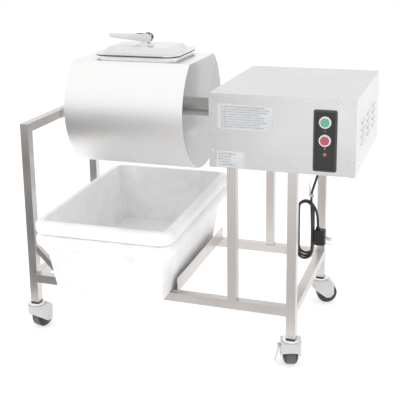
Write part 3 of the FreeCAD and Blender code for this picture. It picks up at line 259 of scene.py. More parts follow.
# Finishes
class Surface:
    """A material being built: one Principled shader and the nodes that feed it."""

    def __init__(self, name: str) -> None:
        """Start a material with a clean Principled shader."""
        self.material = bpy.data.materials.new(name)
        self.tree = cleared(self.material)
        self.shader = self.tree.nodes.new("ShaderNodeBsdfPrincipled")
        output = self.tree.nodes.new("ShaderNodeOutputMaterial")
        self.tree.links.new(self.shader.outputs[0], output.inputs["Surface"])

    def set(self, **values: float) -> None:
        """Set plain values on the shader; an underscore in a key stands for a space."""
        for key, value in values.items():
            self.shader.inputs[key.replace("_", " ")].default_value = value

    def group(self, name: str, maker: Callable[[], bpy.types.NodeTree], **values: float) -> bpy.types.Node:
        """Place a shared group with its own values."""
        node = self.tree.nodes.new("ShaderNodeGroup")
        node.node_tree = group_named(name, maker)
        for key, value in values.items():
            node.inputs[key.replace("_", " ")].default_value = value
        return node

    def ramp(self, source: bpy.types.NodeSocket, dark: Colour, light: Colour, low: float = 0.3,
             high: float = 0.7) -> bpy.types.NodeSocket:
        """Turn a value into a colour between two ends.

        Args:
            source: the value.
            dark: colour at the low end.
            light: colour at the high end.
            low: value that gives the dark colour.
            high: value that gives the light colour.

        Returns:
            The colour socket.
        """
        node = self.tree.nodes.new("ShaderNodeValToRGB")
        node.color_ramp.elements[0].position = low
        node.color_ramp.elements[1].position = high
        node.color_ramp.elements[0].color = (*dark, 1.0)
        node.color_ramp.elements[1].color = (*light, 1.0)
        self.tree.links.new(source, node.inputs["Fac"])
        return node.outputs["Color"]

    def remap(self, source: bpy.types.NodeSocket, low: float, high: float) -> bpy.types.NodeSocket:
        """Turn a 0.3 to 0.7 value into the range low to high."""
        node = self.tree.nodes.new("ShaderNodeMapRange")
        node.inputs["From Min"].default_value = 0.3
        node.inputs["From Max"].default_value = 0.7
        node.inputs["To Min"].default_value = low
        node.inputs["To Max"].default_value = high
        self.tree.links.new(source, node.inputs["Value"])
        return node.outputs["Result"]

    def mix(self, factor: bpy.types.NodeSocket, a: bpy.types.NodeSocket, b: Colour) -> bpy.types.NodeSocket:
        """Blend a colour socket towards a fixed colour by a mask."""
        node = self.tree.nodes.new("ShaderNodeMix")
        node.data_type = "RGBA"
        self.tree.links.new(factor, node.inputs["Factor"])
        self.tree.links.new(a, node.inputs["A"])
        node.inputs["B"].default_value = (*b, 1.0)
        return node.outputs["Result"]

    def feed(self, source: bpy.types.NodeSocket, socket: str) -> None:
        """Link a socket into the shader."""
        self.tree.links.new(source, self.shader.inputs[socket])

    def bump(self, height: bpy.types.NodeSocket, strength: float, distance: float) -> None:
        """Bump the surface by a height in metres."""
        node = self.tree.nodes.new("ShaderNodeBump")
        node.inputs["Strength"].default_value = strength
        node.inputs["Distance"].default_value = distance
        self.tree.links.new(height, node.inputs["Height"])
        self.tree.links.new(node.outputs["Normal"], self.shader.inputs["Normal"])


@dataclass(frozen=True)
class BrushedSteel:
    """Stainless sheet or tube brushed along one axis."""

    name: str
    along: Axis
    colour: Colour = (0.66, 0.63, 0.61)
    roughness: float = 0.34
    spread: float = 0.10
    depth: float = 0.5

    def material(self) -> bpy.types.Material:
        """Build the material."""
        s = Surface(self.name)
        stretch = [1.0, 1.0, 1.0]
        stretch[self.along.value] = 0.02
        grain = s.group("brushed_grain", brush_group, Stretch_X=stretch[0], Stretch_Y=stretch[1],
                        Stretch_Z=stretch[2], Fine=1100.0)
        edges = s.group("edge_wear", edge_group, Reach=0.6)
        dark = tuple(c * 0.90 for c in self.colour)
        light = tuple(min(1.0, c * 1.08) for c in self.colour)
        tone = s.ramp(grain.outputs["Streak"], dark, light)
        s.feed(s.mix(edges.outputs["Rubbed"], tone, light), "Base Color")
        half = self.spread / 2
        s.feed(s.remap(grain.outputs["Cloud"], self.roughness - half, self.roughness + half), "Roughness")
        s.set(Metallic=1.0)
        s.bump(grain.outputs["Streak"], self.depth, 0.00004)
        return s.material


@dataclass(frozen=True)
class PolishedSteel:
    """Bright steel, chrome or a mirror-finished plate, with faint smears."""

    name: str
    colour: Colour = (0.74, 0.74, 0.74)
    roughness: float = 0.10

    def material(self) -> bpy.types.Material:
        """Build the material."""
        s = Surface(self.name)
        skin = s.group("moulded_skin", mottle_group, Pebble=260.0, Patch=22.0)
        edges = s.group("edge_wear", edge_group, Reach=0.5)
        tone = s.ramp(skin.outputs["Patch"], tuple(c * 0.94 for c in self.colour), self.colour)
        s.feed(s.mix(edges.outputs["Rubbed"], tone, (0.88, 0.88, 0.88)), "Base Color")
        s.feed(s.remap(skin.outputs["Patch"], self.roughness * 0.7, self.roughness * 1.4), "Roughness")
        s.set(Metallic=1.0)
        s.bump(skin.outputs["Pebble"], 0.15, 0.00002)
        return s.material


@dataclass(frozen=True)
class Moulded:
    """Moulded plastic or rubber with a fine skin and a little handling wear."""

    name: str
    colour: Colour
    roughness: float = 0.45
    pebble: float = 1400.0
    depth: float = 0.00003
    soft: float = 0.0
    coat: float = 0.0
    specular: float = 0.5

    def material(self) -> bpy.types.Material:
        """Build the material."""
        s = Surface(self.name)
        skin = s.group("moulded_skin", mottle_group, Pebble=self.pebble, Patch=18.0)
        edges = s.group("edge_wear", edge_group, Reach=0.35)
        dark = tuple(c * 0.92 for c in self.colour)
        light = tuple(min(1.0, c * 1.05 + 0.004) for c in self.colour)
        tone = s.ramp(skin.outputs["Patch"], dark, light)
        rubbed = tuple(min(1.0, c * 1.15 + 0.03) for c in self.colour)
        s.feed(s.mix(edges.outputs["Rubbed"], tone, rubbed), "Base Color")
        s.feed(s.remap(skin.outputs["Patch"], self.roughness - 0.06, self.roughness + 0.06), "Roughness")
        s.set(Subsurface_Weight=self.soft, Coat_Weight=self.coat, Coat_Roughness=0.12)
        s.shader.inputs["Specular IOR Level"].default_value = self.specular
        if self.soft:
            s.shader.inputs["Subsurface Radius"].default_value = (0.006, 0.006, 0.006)
            s.shader.inputs["Subsurface Scale"].default_value = 1.0
        s.bump(skin.outputs["Pebble"], 0.5, self.depth)
        return s.material


@dataclass(frozen=True)
class CastMetal:
    """Cast or machined metal with a coarse skin, painted or bare."""

    name: str
    colour: Colour
    metallic: float = 1.0
    roughness: float = 0.5

    def material(self) -> bpy.types.Material:
        """Build the material."""
        s = Surface(self.name)
        skin = s.group("moulded_skin", mottle_group, Pebble=420.0, Patch=30.0)
        edges = s.group("edge_wear", edge_group, Reach=0.8)
        tone = s.ramp(skin.outputs["Patch"], tuple(c * 0.85 for c in self.colour), self.colour)
        rubbed = tuple(min(1.0, c * 1.4) for c in self.colour)
        s.feed(s.mix(edges.outputs["Rubbed"], tone, rubbed), "Base Color")
        s.feed(s.remap(skin.outputs["Patch"], self.roughness - 0.08, self.roughness + 0.08), "Roughness")
        s.set(Metallic=self.metallic)
        s.bump(skin.outputs["Pebble"], 0.5, 0.0001)
        return s.material


class Palette:
    """Every finish of the machine, made once and handed out by name."""

    def __init__(self) -> None:
        """Build the materials."""
        finishes = [
            BrushedSteel("frame_steel_x", Axis.X),
            BrushedSteel("frame_steel_y", Axis.Y),
            BrushedSteel("frame_steel_z", Axis.Z),
            BrushedSteel("housing_steel", Axis.X, colour=(0.72, 0.72, 0.73), roughness=0.34),
            BrushedSteel("drum_steel", Axis.X, colour=(0.93, 0.92, 0.915), roughness=0.44, spread=0.04,
                         depth=0.25),
            # Drum end plates: the dark colour is painted shade for the dark surroundings that the plate
            # mirrors, not the steel's own tone.
            PolishedSteel("mirror_steel", colour=(0.30, 0.30, 0.295), roughness=0.16),
            PolishedSteel("lid_steel", colour=(0.82, 0.82, 0.82), roughness=0.22),
            PolishedSteel("bright_steel", colour=(0.86, 0.86, 0.86)),
            PolishedSteel("hub_steel", colour=(0.50, 0.48, 0.465), roughness=0.16),
            CastMetal("machined_steel", (0.55, 0.55, 0.56), roughness=0.30),
            CastMetal("bearing_bronze", (0.60, 0.42, 0.20), roughness=0.35),
            CastMetal("gear_casting", (0.20, 0.21, 0.22), roughness=0.55),
            CastMetal("motor_enamel", (0.06, 0.10, 0.16), metallic=0.0, roughness=0.42),
            Moulded("seal_rubber", (0.02, 0.02, 0.02), roughness=0.6),
            Moulded("tub_plastic", (0.955, 0.957, 0.957), roughness=0.34, pebble=500.0, soft=0.08),
            Moulded("black_plastic", (0.012, 0.012, 0.013), roughness=0.35),
            Moulded("bezel_plastic", (0.045, 0.046, 0.05), roughness=0.4),
            Moulded("ring_plastic", (0.80, 0.80, 0.77), roughness=0.25, coat=0.3),
            Moulded("green_plastic", (0.10, 0.42, 0.26), roughness=0.28, coat=0.3),
            Moulded("red_plastic", (0.50, 0.07, 0.10), roughness=0.28, coat=0.3),
            Moulded("lamp_plastic", (0.42, 0.10, 0.09), roughness=0.15, coat=0.5),
            Moulded("castor_enamel", (0.62, 0.62, 0.63), roughness=0.32, coat=0.2),
            Moulded("tread_rubber", (0.11, 0.11, 0.118), roughness=0.55),
            Moulded("guard_plastic", (0.02, 0.02, 0.022), roughness=0.4),
            Moulded("case_grey", (0.30, 0.31, 0.32), roughness=0.5),
            Moulded("cord_rubber", (0.014, 0.014, 0.016), roughness=0.42, specular=0.6),
            Moulded("plate_white", (0.66, 0.67, 0.68), roughness=0.35),
            Moulded("ink_grey", (0.22, 0.23, 0.24), roughness=0.6),
            Moulded("tie_white", (0.62, 0.61, 0.56), roughness=0.5),
        ]
        self.made = {finish.name: finish.material() for finish in finishes}

    def __getitem__(self, name: str) -> bpy.types.Material:
        """Material of that name."""
        return self.made[name]

    def dress(self, nodes: Sequence[str], name: str) -> None:
        """Give CAD nodes a finish.

        Args:
            nodes: CAD node names.
            name: the finish.
        """
        for node in nodes:
            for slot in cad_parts[node].material_slots:
                slot.material = self.made[name]


# Mesh helpers
def finished(name: str, mesh: bpy.types.Mesh, finishes: Sequence[bpy.types.Material], body: str,
             smooth: bool = True) -> bpy.types.Object:
    """Put a mesh in the scene as a piece that rides on a body.

    Args:
        name: the piece's name.
        mesh: its mesh, placed in the row frame.
        finishes: its materials, in slot order.
        body: the body that it rides on.
        smooth: whether faces are shaded smooth.

    Returns:
        The object.
    """
    obj = placed(name, mesh)
    if not mesh.materials:
        for finish in finishes:
            mesh.materials.append(finish)
    for face in mesh.polygons:
        face.use_smooth = smooth
    if smooth:
        mesh.set_sharp_from_angle(angle=CREASE)
    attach(obj, body)
    return obj


def mesh_of(name: str, bm: bmesh.types.BMesh) -> bpy.types.Mesh:
    """Turn a bmesh into a mesh, merged and with its normals outwards."""
    bmesh.ops.remove_doubles(bm, verts=bm.verts, dist=MERGE)
    bmesh.ops.recalc_face_normals(bm, faces=bm.faces)
    mesh = bpy.data.meshes.new(name)
    bm.to_mesh(mesh)
    bm.free()
    return mesh


def lathe(bm: bmesh.types.BMesh, profile: Sequence[tuple[float, float]], place: Matrix, steps: int = 48,
          material: int = 0, closed: bool = False) -> None:
    """Turn a profile round the Z axis of a placed frame.

    Args:
        bm: the bmesh that takes the faces.
        profile: (radius, height) points in metres; a radius of 0 closes a pole.
        place: matrix from the lathe's frame to the row frame.
        steps: how many faces go round.
        material: material index.
        closed: whether the last point joins the first.
    """
    rings = []
    for radius, height in profile:
        if radius < 1e-9:
            rings.append([bm.verts.new(place @ Vector((0, 0, height)))])
            continue
        ring = []
        for k in range(steps):
            a = 2 * math.pi * k / steps
            ring.append(bm.verts.new(place @ Vector((radius * math.cos(a), radius * math.sin(a), height))))
        rings.append(ring)
    pairs = list(zip(rings, rings[1:]))
    if closed:
        pairs.append((rings[-1], rings[0]))
    for lower, upper in pairs:
        for k in range(steps):
            corners = [lower[k % len(lower)], lower[(k + 1) % len(lower)], upper[(k + 1) % len(upper)],
                       upper[k % len(upper)]]
            unique = list(dict.fromkeys(corners))
            if len(unique) > 2:
                bm.faces.new(unique).material_index = material


def slab(bm: bmesh.types.BMesh, low: Vector, high: Vector, material: int = 0) -> None:
    """Add a box between two corners."""
    size = high - low
    made = bmesh.ops.create_cube(bm, size=1.0, matrix=Matrix.Translation((low + high) / 2)
                                 @ Matrix.Diagonal((*size, 1.0)))
    for face in {f for v in made["verts"] for f in v.link_faces}:
        face.material_index = material


def frame_towards(point: Vector, direction: Vector) -> Matrix:
    """A frame at a point whose Z axis looks along a direction."""
    return Matrix.Translation(point) @ direction.to_track_quat("Z", "Y").to_matrix().to_4x4()


# Geometry node trees
class RepeatTree:
    """Geometry Nodes tree that sets one shape on every vertex of a carrier mesh."""

    def __init__(self, name: str, template: bpy.types.Object, finish: bpy.types.Material) -> None:
        """Build the tree.

        Args:
            name: the tree's name.
            template: the shape that is repeated, modelled with its seat at the origin and +Z outwards.
            finish: the material of the result.
        """
        self.tree = bpy.data.node_groups.new(name, "GeometryNodeTree")
        face = self.tree.interface
        face.new_socket("Geometry", in_out="INPUT", socket_type="NodeSocketGeometry")
        for key, kind, value in (("Size", "Float", 1.0), ("Turn Spread", "Float", 0.0), ("Seed", "Int", 7)):
            face.new_socket(key, in_out="INPUT", socket_type="NodeSocket" + kind).default_value = value
        face.new_socket("Geometry", in_out="OUTPUT", socket_type="NodeSocketGeometry")
        nodes, link = self.tree.nodes, self.tree.links.new
        given, result = nodes.new("NodeGroupInput"), nodes.new("NodeGroupOutput")
        shape = nodes.new("GeometryNodeObjectInfo")
        shape.inputs["Object"].default_value = template
        normal = nodes.new("GeometryNodeInputNamedAttribute")
        normal.data_type = "FLOAT_VECTOR"
        normal.inputs["Name"].default_value = "facing"
        align = nodes.new("FunctionNodeAlignRotationToVector")
        align.axis = "Z"
        link(normal.outputs["Attribute"], align.inputs["Vector"])
        chance = nodes.new("FunctionNodeRandomValue")
        link(given.outputs["Seed"], chance.inputs["Seed"])
        spread = nodes.new("ShaderNodeMath")
        spread.operation = "MULTIPLY"
        link(chance.outputs[1], spread.inputs[0])
        link(given.outputs["Turn Spread"], spread.inputs[1])
        spin = nodes.new("ShaderNodeCombineXYZ")
        link(spread.outputs[0], spin.inputs["Z"])
        own = nodes.new("FunctionNodeRotateRotation")
        own.rotation_space = "LOCAL"
        link(align.outputs["Rotation"], own.inputs["Rotation"])
        link(spin.outputs[0], own.inputs["Rotate By"])
        place = nodes.new("GeometryNodeInstanceOnPoints")
        link(given.outputs["Geometry"], place.inputs["Points"])
        link(shape.outputs["Geometry"], place.inputs["Instance"])
        link(own.outputs["Rotation"], place.inputs["Rotation"])
        link(given.outputs["Size"], place.inputs["Scale"])
        real = nodes.new("GeometryNodeRealizeInstances")
        link(place.outputs["Instances"], real.inputs["Geometry"])
        paint = nodes.new("GeometryNodeSetMaterial")
        paint.inputs["Material"].default_value = finish
        link(real.outputs["Geometry"], paint.inputs["Geometry"])
        link(paint.outputs["Geometry"], result.inputs[0])

    def grow(self, name: str, points: Sequence[Vector], facing: Sequence[Vector], size: float = 1.0,
             turn: float = 0.0) -> bpy.types.Mesh:
        """Set the shape on every point and return one plain mesh.

        Args:
            name: name of the result.
            points: where each copy sits.
            facing: which way each copy's Z axis looks.
            size: scale of the copies.
            turn: largest random turn about each copy's own axis, in radians.

        Returns:
            The realised mesh.
        """
        carrier = bpy.data.meshes.new(name + "_points")
        carrier.from_pydata([tuple(p) for p in points], [], [])
        store = carrier.attributes.new("facing", "FLOAT_VECTOR", "POINT")
        for index, way in enumerate(facing):
            store.data[index].vector = way
        holder = placed(name + "_points", carrier)
        modifier = holder.modifiers.new("repeat", "NODES")
        modifier.node_group = self.tree
        values = {"Size": size, "Turn Spread": turn}
        for item in self.tree.interface.items_tree:
            if item.in_out == "INPUT" and item.name in values:
                modifier[item.identifier] = values[item.name]
        return plain_mesh(name, holder)


def template_object(name: str, mesh: bpy.types.Mesh) -> bpy.types.Object:
    """An object that only serves as a repeated shape; it is not linked into the scene."""
    return bpy.data.objects.new(name, mesh)


# Studio
@dataclass(frozen=True)
class Lamp:
    """A round soft lamp. Places are in millimetres, its size in metres, its power in watts."""

    name: str
    place: tuple[float, float, float]
    aim: tuple[float, float, float]
    size: float
    power: float


@dataclass(frozen=True)
class Card:
    """A card on the floor: its outline in millimetres, anticlockwise, and how bright it is, 1 for white."""

    name: str
    corners: tuple[tuple[float, float], ...]
    shade: float


@dataclass
class Studio:
    """Camera, floor, lamps, and the plain world round the machine."""

    eye: tuple[float, float, float] = (1231.0, -2030.0, 1178.0)
    yaw: float = 19.2
    pitch: float = -13.4
    roll: float = -0.9
    lens: float = 75.15
    shift: tuple[float, float] = (0.01725, -0.1875)
    sensor: float = 36.0
    clip: tuple[float, float] = (0.05, 60.0)
    fill: float = 0.93
    floor_half: float = 9.0
    floor_tone: float = 0.62
    floor_glow: float = 0.56
    card_height: float = 2.0
    lamps: tuple[Lamp, ...] = (Lamp("key", (-1400, -2200, 2600), (400, 200, 450), 2.2, 14.0),
                               Lamp("side", (2900, -600, 1900), (700, 200, 500), 2.0, 7.0))
    cards: tuple[Card, ...] = (
        Card("left_card", ((-4200, -5600), (-700, -5600), (150, -200), (-2500, -200)), 0.20),
        Card("right_card", ((150, -1600), (1500, -1600), (1500, -220), (150, -220)), 0.66))

    def build_camera(self) -> None:
        """Set the camera where the machine is seen from."""
        data = bpy.data.cameras.new("camera")
        data.lens = self.lens
        data.sensor_width = self.sensor
        data.shift_x, data.shift_y = self.shift
        data.clip_start, data.clip_end = self.clip
        camera = placed("camera", data)
        yaw, pitch = math.radians(self.yaw), math.radians(self.pitch)
        ahead = Vector((-math.sin(yaw) * math.cos(pitch), math.cos(yaw) * math.cos(pitch), math.sin(pitch)))
        turn = ahead.to_track_quat("-Z", "Y").to_matrix().to_4x4()
        tilt = Matrix.Rotation(math.radians(self.roll), 4, "Z")
        camera.matrix_world = Matrix.Translation(at(*self.eye)) @ turn @ tilt
        bpy.context.scene.camera = camera

    def plain_world(self) -> None:
        """Fill light from every side; what the camera, metal and glass see is white."""
        world = bpy.data.worlds.new("studio")
        bpy.context.scene.world = world
        tree = cleared(world)
        back = tree.nodes.new("ShaderNodeBackground")
        back.inputs["Color"].default_value = (1.0, 1.0, 1.0, 1.0)
        out = tree.nodes.new("ShaderNodeOutputWorld")
        seen = self.seen_directly(tree)
        strength = tree.nodes.new("ShaderNodeMapRange")
        strength.inputs["To Min"].default_value = self.fill
        strength.inputs["To Max"].default_value = 1.0
        tree.links.new(seen, strength.inputs["Value"])
        tree.links.new(strength.outputs[0], back.inputs["Strength"])
        tree.links.new(back.outputs[0], out.inputs["Surface"])

    @staticmethod
    def seen_directly(tree: bpy.types.NodeTree) -> bpy.types.NodeSocket:
        """1 where a camera, glossy or transmission ray looks, else 0."""
        path = tree.nodes.new("ShaderNodeLightPath")
        total = path.outputs["Is Camera Ray"]
        for key in ("Is Glossy Ray", "Is Transmission Ray"):
            join = tree.nodes.new("ShaderNodeMath")
            join.operation = "MAXIMUM"
            tree.links.new(total, join.inputs[0])
            tree.links.new(path.outputs[key], join.inputs[1])
            total = join.outputs[0]
        return total

    def build_floor(self) -> None:
        """A pale floor that keeps the machine's shadow."""
        mesh = bpy.data.meshes.new("floor")
        half = self.floor_half
        corners = [(x * half, y * half, 0) for x, y in ((-1, -1), (1, -1), (1, 1), (-1, 1))]
        mesh.from_pydata(corners, [], [tuple(range(len(corners)))])
        floor = placed("floor", mesh)
        material = bpy.data.materials.new("floor_paper")
        tree = cleared(material)
        paper = tree.nodes.new("ShaderNodeBsdfDiffuse")
        paper.inputs["Color"].default_value = (self.floor_tone, self.floor_tone, self.floor_tone, 1.0)
        glow = tree.nodes.new("ShaderNodeEmission")
        glow.inputs["Strength"].default_value = self.floor_glow
        add = tree.nodes.new("ShaderNodeAddShader")
        out = tree.nodes.new("ShaderNodeOutputMaterial")
        tree.links.new(paper.outputs[0], add.inputs[0])
        tree.links.new(glow.outputs[0], add.inputs[1])
        tree.links.new(add.outputs[0], out.inputs["Surface"])
        mesh.materials.append(material)

    def build_card(self, sheet: Card) -> None:
        """Lay a card on the floor that only metal sees, so that bright sheet has something to mirror.

        Args:
            sheet: the card.
        """
        mesh = bpy.data.meshes.new(sheet.name)
        mesh.from_pydata([tuple(at(x, y, self.card_height)) for x, y in sheet.corners], [],
                         [tuple(range(len(sheet.corners)))])
        card = placed(sheet.name, mesh)
        material = bpy.data.materials.new(sheet.name)
        tree = cleared(material)
        glow = tree.nodes.new("ShaderNodeEmission")
        glow.inputs["Color"].default_value = (sheet.shade, sheet.shade * 0.985, sheet.shade * 0.97, 1.0)
        out = tree.nodes.new("ShaderNodeOutputMaterial")
        tree.links.new(glow.outputs[0], out.inputs["Surface"])
        mesh.materials.append(material)
        card.visible_camera = False
        card.visible_diffuse = False
        card.visible_shadow = False
        card.visible_transmission = False

    def build_lamps(self) -> None:
        """A broad key lamp from the upper left front, and a softer one from the right."""
        for plan in self.lamps:
            data = bpy.data.lights.new(plan.name, "AREA")
            data.shape = "DISK"
            data.size = plan.size
            data.energy = plan.power
            lamp = placed(plan.name, data)
            lamp.visible_glossy = False
            lamp.matrix_world = frame_towards(at(*plan.place), at(*plan.place) - at(*plan.aim))

    def build(self) -> None:
        """Build the whole studio."""
        bpy.context.scene.view_settings.view_transform = "Standard"
        self.build_camera()
        self.plain_world()
        self.build_floor()
        self.build_lamps()
        for sheet in self.cards:
            self.build_card(sheet)


# Mains lead
@dataclass
class MainsLead:
    """The lead with its folded hank, its tie, and its plug."""

    diameter: float = 7.0
    lead: tuple = ((820.0, 225.0, 529.0), (820.0, 225.0, 511.0), (817.3, 225.0, 490.0), (811.5, 225.0, 468.0),
                   (804.5, 225.0, 446.0), (799.0, 225.0, 426.0))
    tail: tuple = ((797.0, 225.0, 405.5), (806.2, 225.0, 396.3), (813.6, 225.0, 384.4), (818.3, 225.0, 368.1),
                   (820.2, 225.0, 350.2), (820.8, 225.0, 332.5))
    hank_x: float = 784.0
    hank_y: float = 225.0
    bend: float = 21.0
    low: float = 257.5
    high: float = 386.5
    folds: int = 4
    layer: float = 7.5
    length: float = 1.77
    tie_centre: tuple[float, float, float] = (800.5, 225.0, 421.0)
    tie_radii: tuple[float, float] = (7.0, 7.5)
    twist_centre: tuple[float, float] = (797.0, 217.0)
    twist_radius: float = 1.6
    wire_radius: float = 1.1
    plug_depth: float = 31.0
    plug_round: float = 5.5
    pins: tuple = ((-6.5, 26.0, 0.8, 3.0, 17.0), (6.5, 26.0, 0.8, 3.0, 17.0), (0.0, 41.2, 3.0, 0.8, 19.0))

    @staticmethod
    def round_curve(name: str, radius: float, facets: int, smoothness: int) -> bpy.types.Curve:
        """A curve with a round section.

        Args:
            name: the curve's name.
            radius: radius of the section, in millimetres.
            facets: resolution of the section.
            smoothness: resolution along the line.

        Returns:
            The curve, without a line yet.
        """
        curve = bpy.data.curves.new(name, "CURVE")
        curve.dimensions = "3D"
        curve.bevel_depth = radius * MM
        curve.bevel_resolution = facets
        curve.resolution_u = smoothness
        return curve

    @staticmethod
    def add_line(curve: bpy.types.Curve, route: Sequence[Vector]) -> None:
        """Add an open NURBS line along a route given in millimetres."""
        spline = curve.splines.new("NURBS")
        spline.points.add(len(route) - 1)
        for index, p in enumerate(route):
            spline.points[index].co = (*at(*p), 1.0)
        spline.order_u = 3
        spline.use_endpoint_u = True

    def fold_points(self) -> list[Vector]:
        """Control points of the folded turns: down on the right, up on the left.

        Returns:
            Points in millimetres.
        """
        rng = random.Random(4)
        points: list[Vector] = []
        straight = (0.12, 0.37, 0.63, 0.88)
        arc = [math.radians(a) for a in (14, 50, 90, 130, 166)]
        for k in range(self.folds):
            depth = self.hank_y + (k - (self.folds - 1) / 2) * self.layer
            after = self.hank_y + (k + 1 - (self.folds - 1) / 2) * self.layer if k < self.folds - 1 else depth
            lean = rng.uniform(-1.0, 2.0)
            low = self.low + (0.0, 5.0, 1.5, 8.0)[k % 4]
            high = self.high - (0.0, 2.5, 1.0, 3.0)[k % 4]
            radius = self.bend * 1.03
            for part in reversed(straight):
                if k == 0 and part > 0.8:
                    continue
                points.append(Vector((self.hank_x + radius - lean * (1 - part), depth,
                                      low + (high - low) * part)))
            for a in arc:
                points.append(Vector((self.hank_x - lean / 2 + radius * math.cos(a), depth,
                                      low - radius * math.sin(a))))
            for part in straight:
                points.append(Vector((self.hank_x - radius - lean * (1 - part), depth,
                                      low + (high - low) * part)))
            last = k == self.folds - 1
            for index, a in enumerate(reversed(arc)):
                if last and index > 2:
                    break
                y = depth + (after - depth) * (index + 1) / len(arc)
                points.append(Vector((self.hank_x + radius * math.cos(a), y, high + radius * math.sin(a))))
        return points

    def build_cord(self, palette: Palette) -> bpy.types.Object:
        """Lay the lead, hank and tail as one smooth line."""
        route = [Vector(p) for p in self.lead] + self.fold_points() + [Vector(p) for p in self.tail]
        curve = self.round_curve("mains_cord", self.diameter / 2, 4, 6)
        curve.use_fill_caps = True
        self.add_line(curve, route)
        cord = placed("mains_cord", curve)
        curve.materials.append(palette["cord_rubber"])
        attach(cord, "frame")
        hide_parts("mains_lead", "lead_hank", "lead_tail")
        return cord

    def build_plug(self, palette: Palette) -> bpy.types.Object:
        """Moulded plug with a ribbed neck, a raised grip and three flat pins."""
        low, high = span("mains_plug")
        top = low.z + (high.z - low.z) * 0.86
        face = low.x + self.plug_depth * MM
        y = (low.y + high.y) / 2
        bm = bmesh.new()
        slab(bm, Vector((low.x, low.y + 1 * MM, low.z)), Vector((face, high.y - 1 * MM, top)))
        bmesh.ops.bevel(bm, geom=bm.edges[:], offset=self.plug_round * MM, segments=4, affect="EDGES",
                        profile=0.6)
        for step in range(4):
            z = low.z + (12 + 6 * step) * MM
            for side in (-1, 1):
                edge = y + side * 13.6 * MM
                slab(bm, Vector((low.x + 7 * MM, edge - 0.9 * MM, z)),
                     Vector((face - 9 * MM, edge + 0.9 * MM, z + 2.4 * MM)))
        neck = Matrix.Translation(at(820.8, 225.0, 0) + Vector((0, 0, top - 2 * MM)))
        profile = [(0.0, 0.0), (7.5 * MM, 0.0)]
        for ring in range(3):
            z = (2.0 + ring * 2.6) * MM
            r = (6.6 - ring * 0.7) * MM
            profile += [(r, z), (r, z + 1.5 * MM), (r - 1.0 * MM, z + 1.7 * MM), (r - 1.0 * MM, z + 2.4 * MM)]
        profile += [(4.0 * MM, high.z - top + 1.6 * MM), (0.0, high.z - top + 1.6 * MM)]
        lathe(bm, profile, neck, 32)
        body = mesh_of("plug_moulding", bm)
        plug = finished("plug_moulding", body, [palette["black_plastic"]], "frame")
        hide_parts("mains_plug")
        bm = bmesh.new()
        for dy, drop, thick, wide, reach in self.pins:
            z = high.z - 7.5 * MM - drop * MM
            slab(bm, Vector((face - 2 * MM, y + (dy - thick) * MM, z - wide * MM)),
                 Vector((face + reach * MM, y + (dy + thick) * MM, z + wide * MM)))
        pins = mesh_of("plug_pins", bm)
        finished("plug_pins", pins, [palette["bright_steel"]], "frame", smooth=False)
        return plug

    def build_tie(self, palette: Palette) -> None:
        """Wire tie twisted round the top of the hank and the lead, its ends standing up."""
        curve = self.round_curve("hank_tie_line", self.wire_radius, 3, 8)
        (cx, cy, cz), (rx, ry) = self.tie_centre, self.tie_radii
        rounds = []
        for k in range(26):
            a = 2 * math.pi * k / 13
            rounds.append((cx + rx * math.cos(a), cy + ry * math.sin(a), cz + k * 0.28 - 2.0 * math.cos(a)))

        def twisted(count: int, start: float, rise: float, lag: float) -> list[tuple[float, float, float]]:
            """One wire of the twisted ends: how many points, its start, its rise a point, its lag."""
            (x, y), r = self.twist_centre, self.twist_radius
            return [(x + r * math.cos(k * 1.5 + lag), y + r * math.sin(k * 1.5 + lag), start + rise * k)
                    for k in range(count)]

        for path in (rounds + twisted(9, 431.0, 3.0, 0.0), twisted(12, 429.0, 3.4, 3.1)):
            self.add_line(curve, path)
        mesh = plain_mesh("hank_tie", placed("hank_tie_line", curve))
        mesh.materials.clear()
        finished("hank_tie", mesh, [palette["tie_white"]], "frame")

    def build(self, palette: Palette) -> None:
        cord = self.build_cord(palette)
        plug = self.build_plug(palette)
        self.build_tie(palette)


# Castors
@dataclass
class CastorWheels:
    """Grey tyres between black thread guards, one piece for each castor."""

    radius: float = 31.5
    tread: float = 13.0
    width: float = 22.0
    side_radius: float = 21.0
    axle: float = 4.05

    def tyre_profile(self) -> list[tuple[float, float]]:
        """Section of the tyre, as radius and place along the axle, in metres."""
        r, t = self.radius, self.tread
        half = [(r - 7.0, t + 0.6), (r - 1.4, t - 0.2), (r - 0.35, t - 1.3), (r, t - 3.2)]
        points = [(a * MM, b * MM) for a, b in half]
        return points + [(a, -b) for a, b in reversed(points)]

    def guard_profile(self, side: int) -> list[tuple[float, float]]:
        """Section of one thread guard, with its dished face and its hub."""
        t, w = self.tread, self.width
        points = [(self.radius - 3.0, t + 0.4), (self.radius - 2.2, t + 1.6),
                  (self.side_radius + 5.0, t + 3.8),
                  (self.side_radius - 1.0, w - 2.2), (self.side_radius - 5.0, w - 0.9),
                  (self.side_radius - 7.0, w - 1.9), (10.0, w - 1.9), (9.2, w - 0.2), (self.axle, w - 0.2),
                  (self.axle, t - 1.0), (self.radius - 6.0, t - 1.0)]
        return [(a * MM, side * b * MM) for a, b in points]

    def build(self, palette: Palette) -> None:
        """Build the four wheels."""
        for castor in Castor:
            node = "castor_wheel_" + castor.label
            axis = Vector((-math.sin(castor.yaw), math.cos(castor.yaw), 0.0))
            place = frame_towards(middle(node), axis)
            bm = bmesh.new()
            lathe(bm, self.tyre_profile(), place, 72, 0, closed=True)
            for side in (-1, 1):
                lathe(bm, self.guard_profile(side), place, 72, 1, closed=True)
            mesh = mesh_of("wheel_" + castor.label, bm)
            finishes = [palette["tread_rubber"], palette["guard_plastic"]]
            wheel = finished("castor_tyre_" + castor.label, mesh, finishes, "wheel_" + castor.label)
            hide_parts(node)
            log.info("castor wheel %s", castor.label)


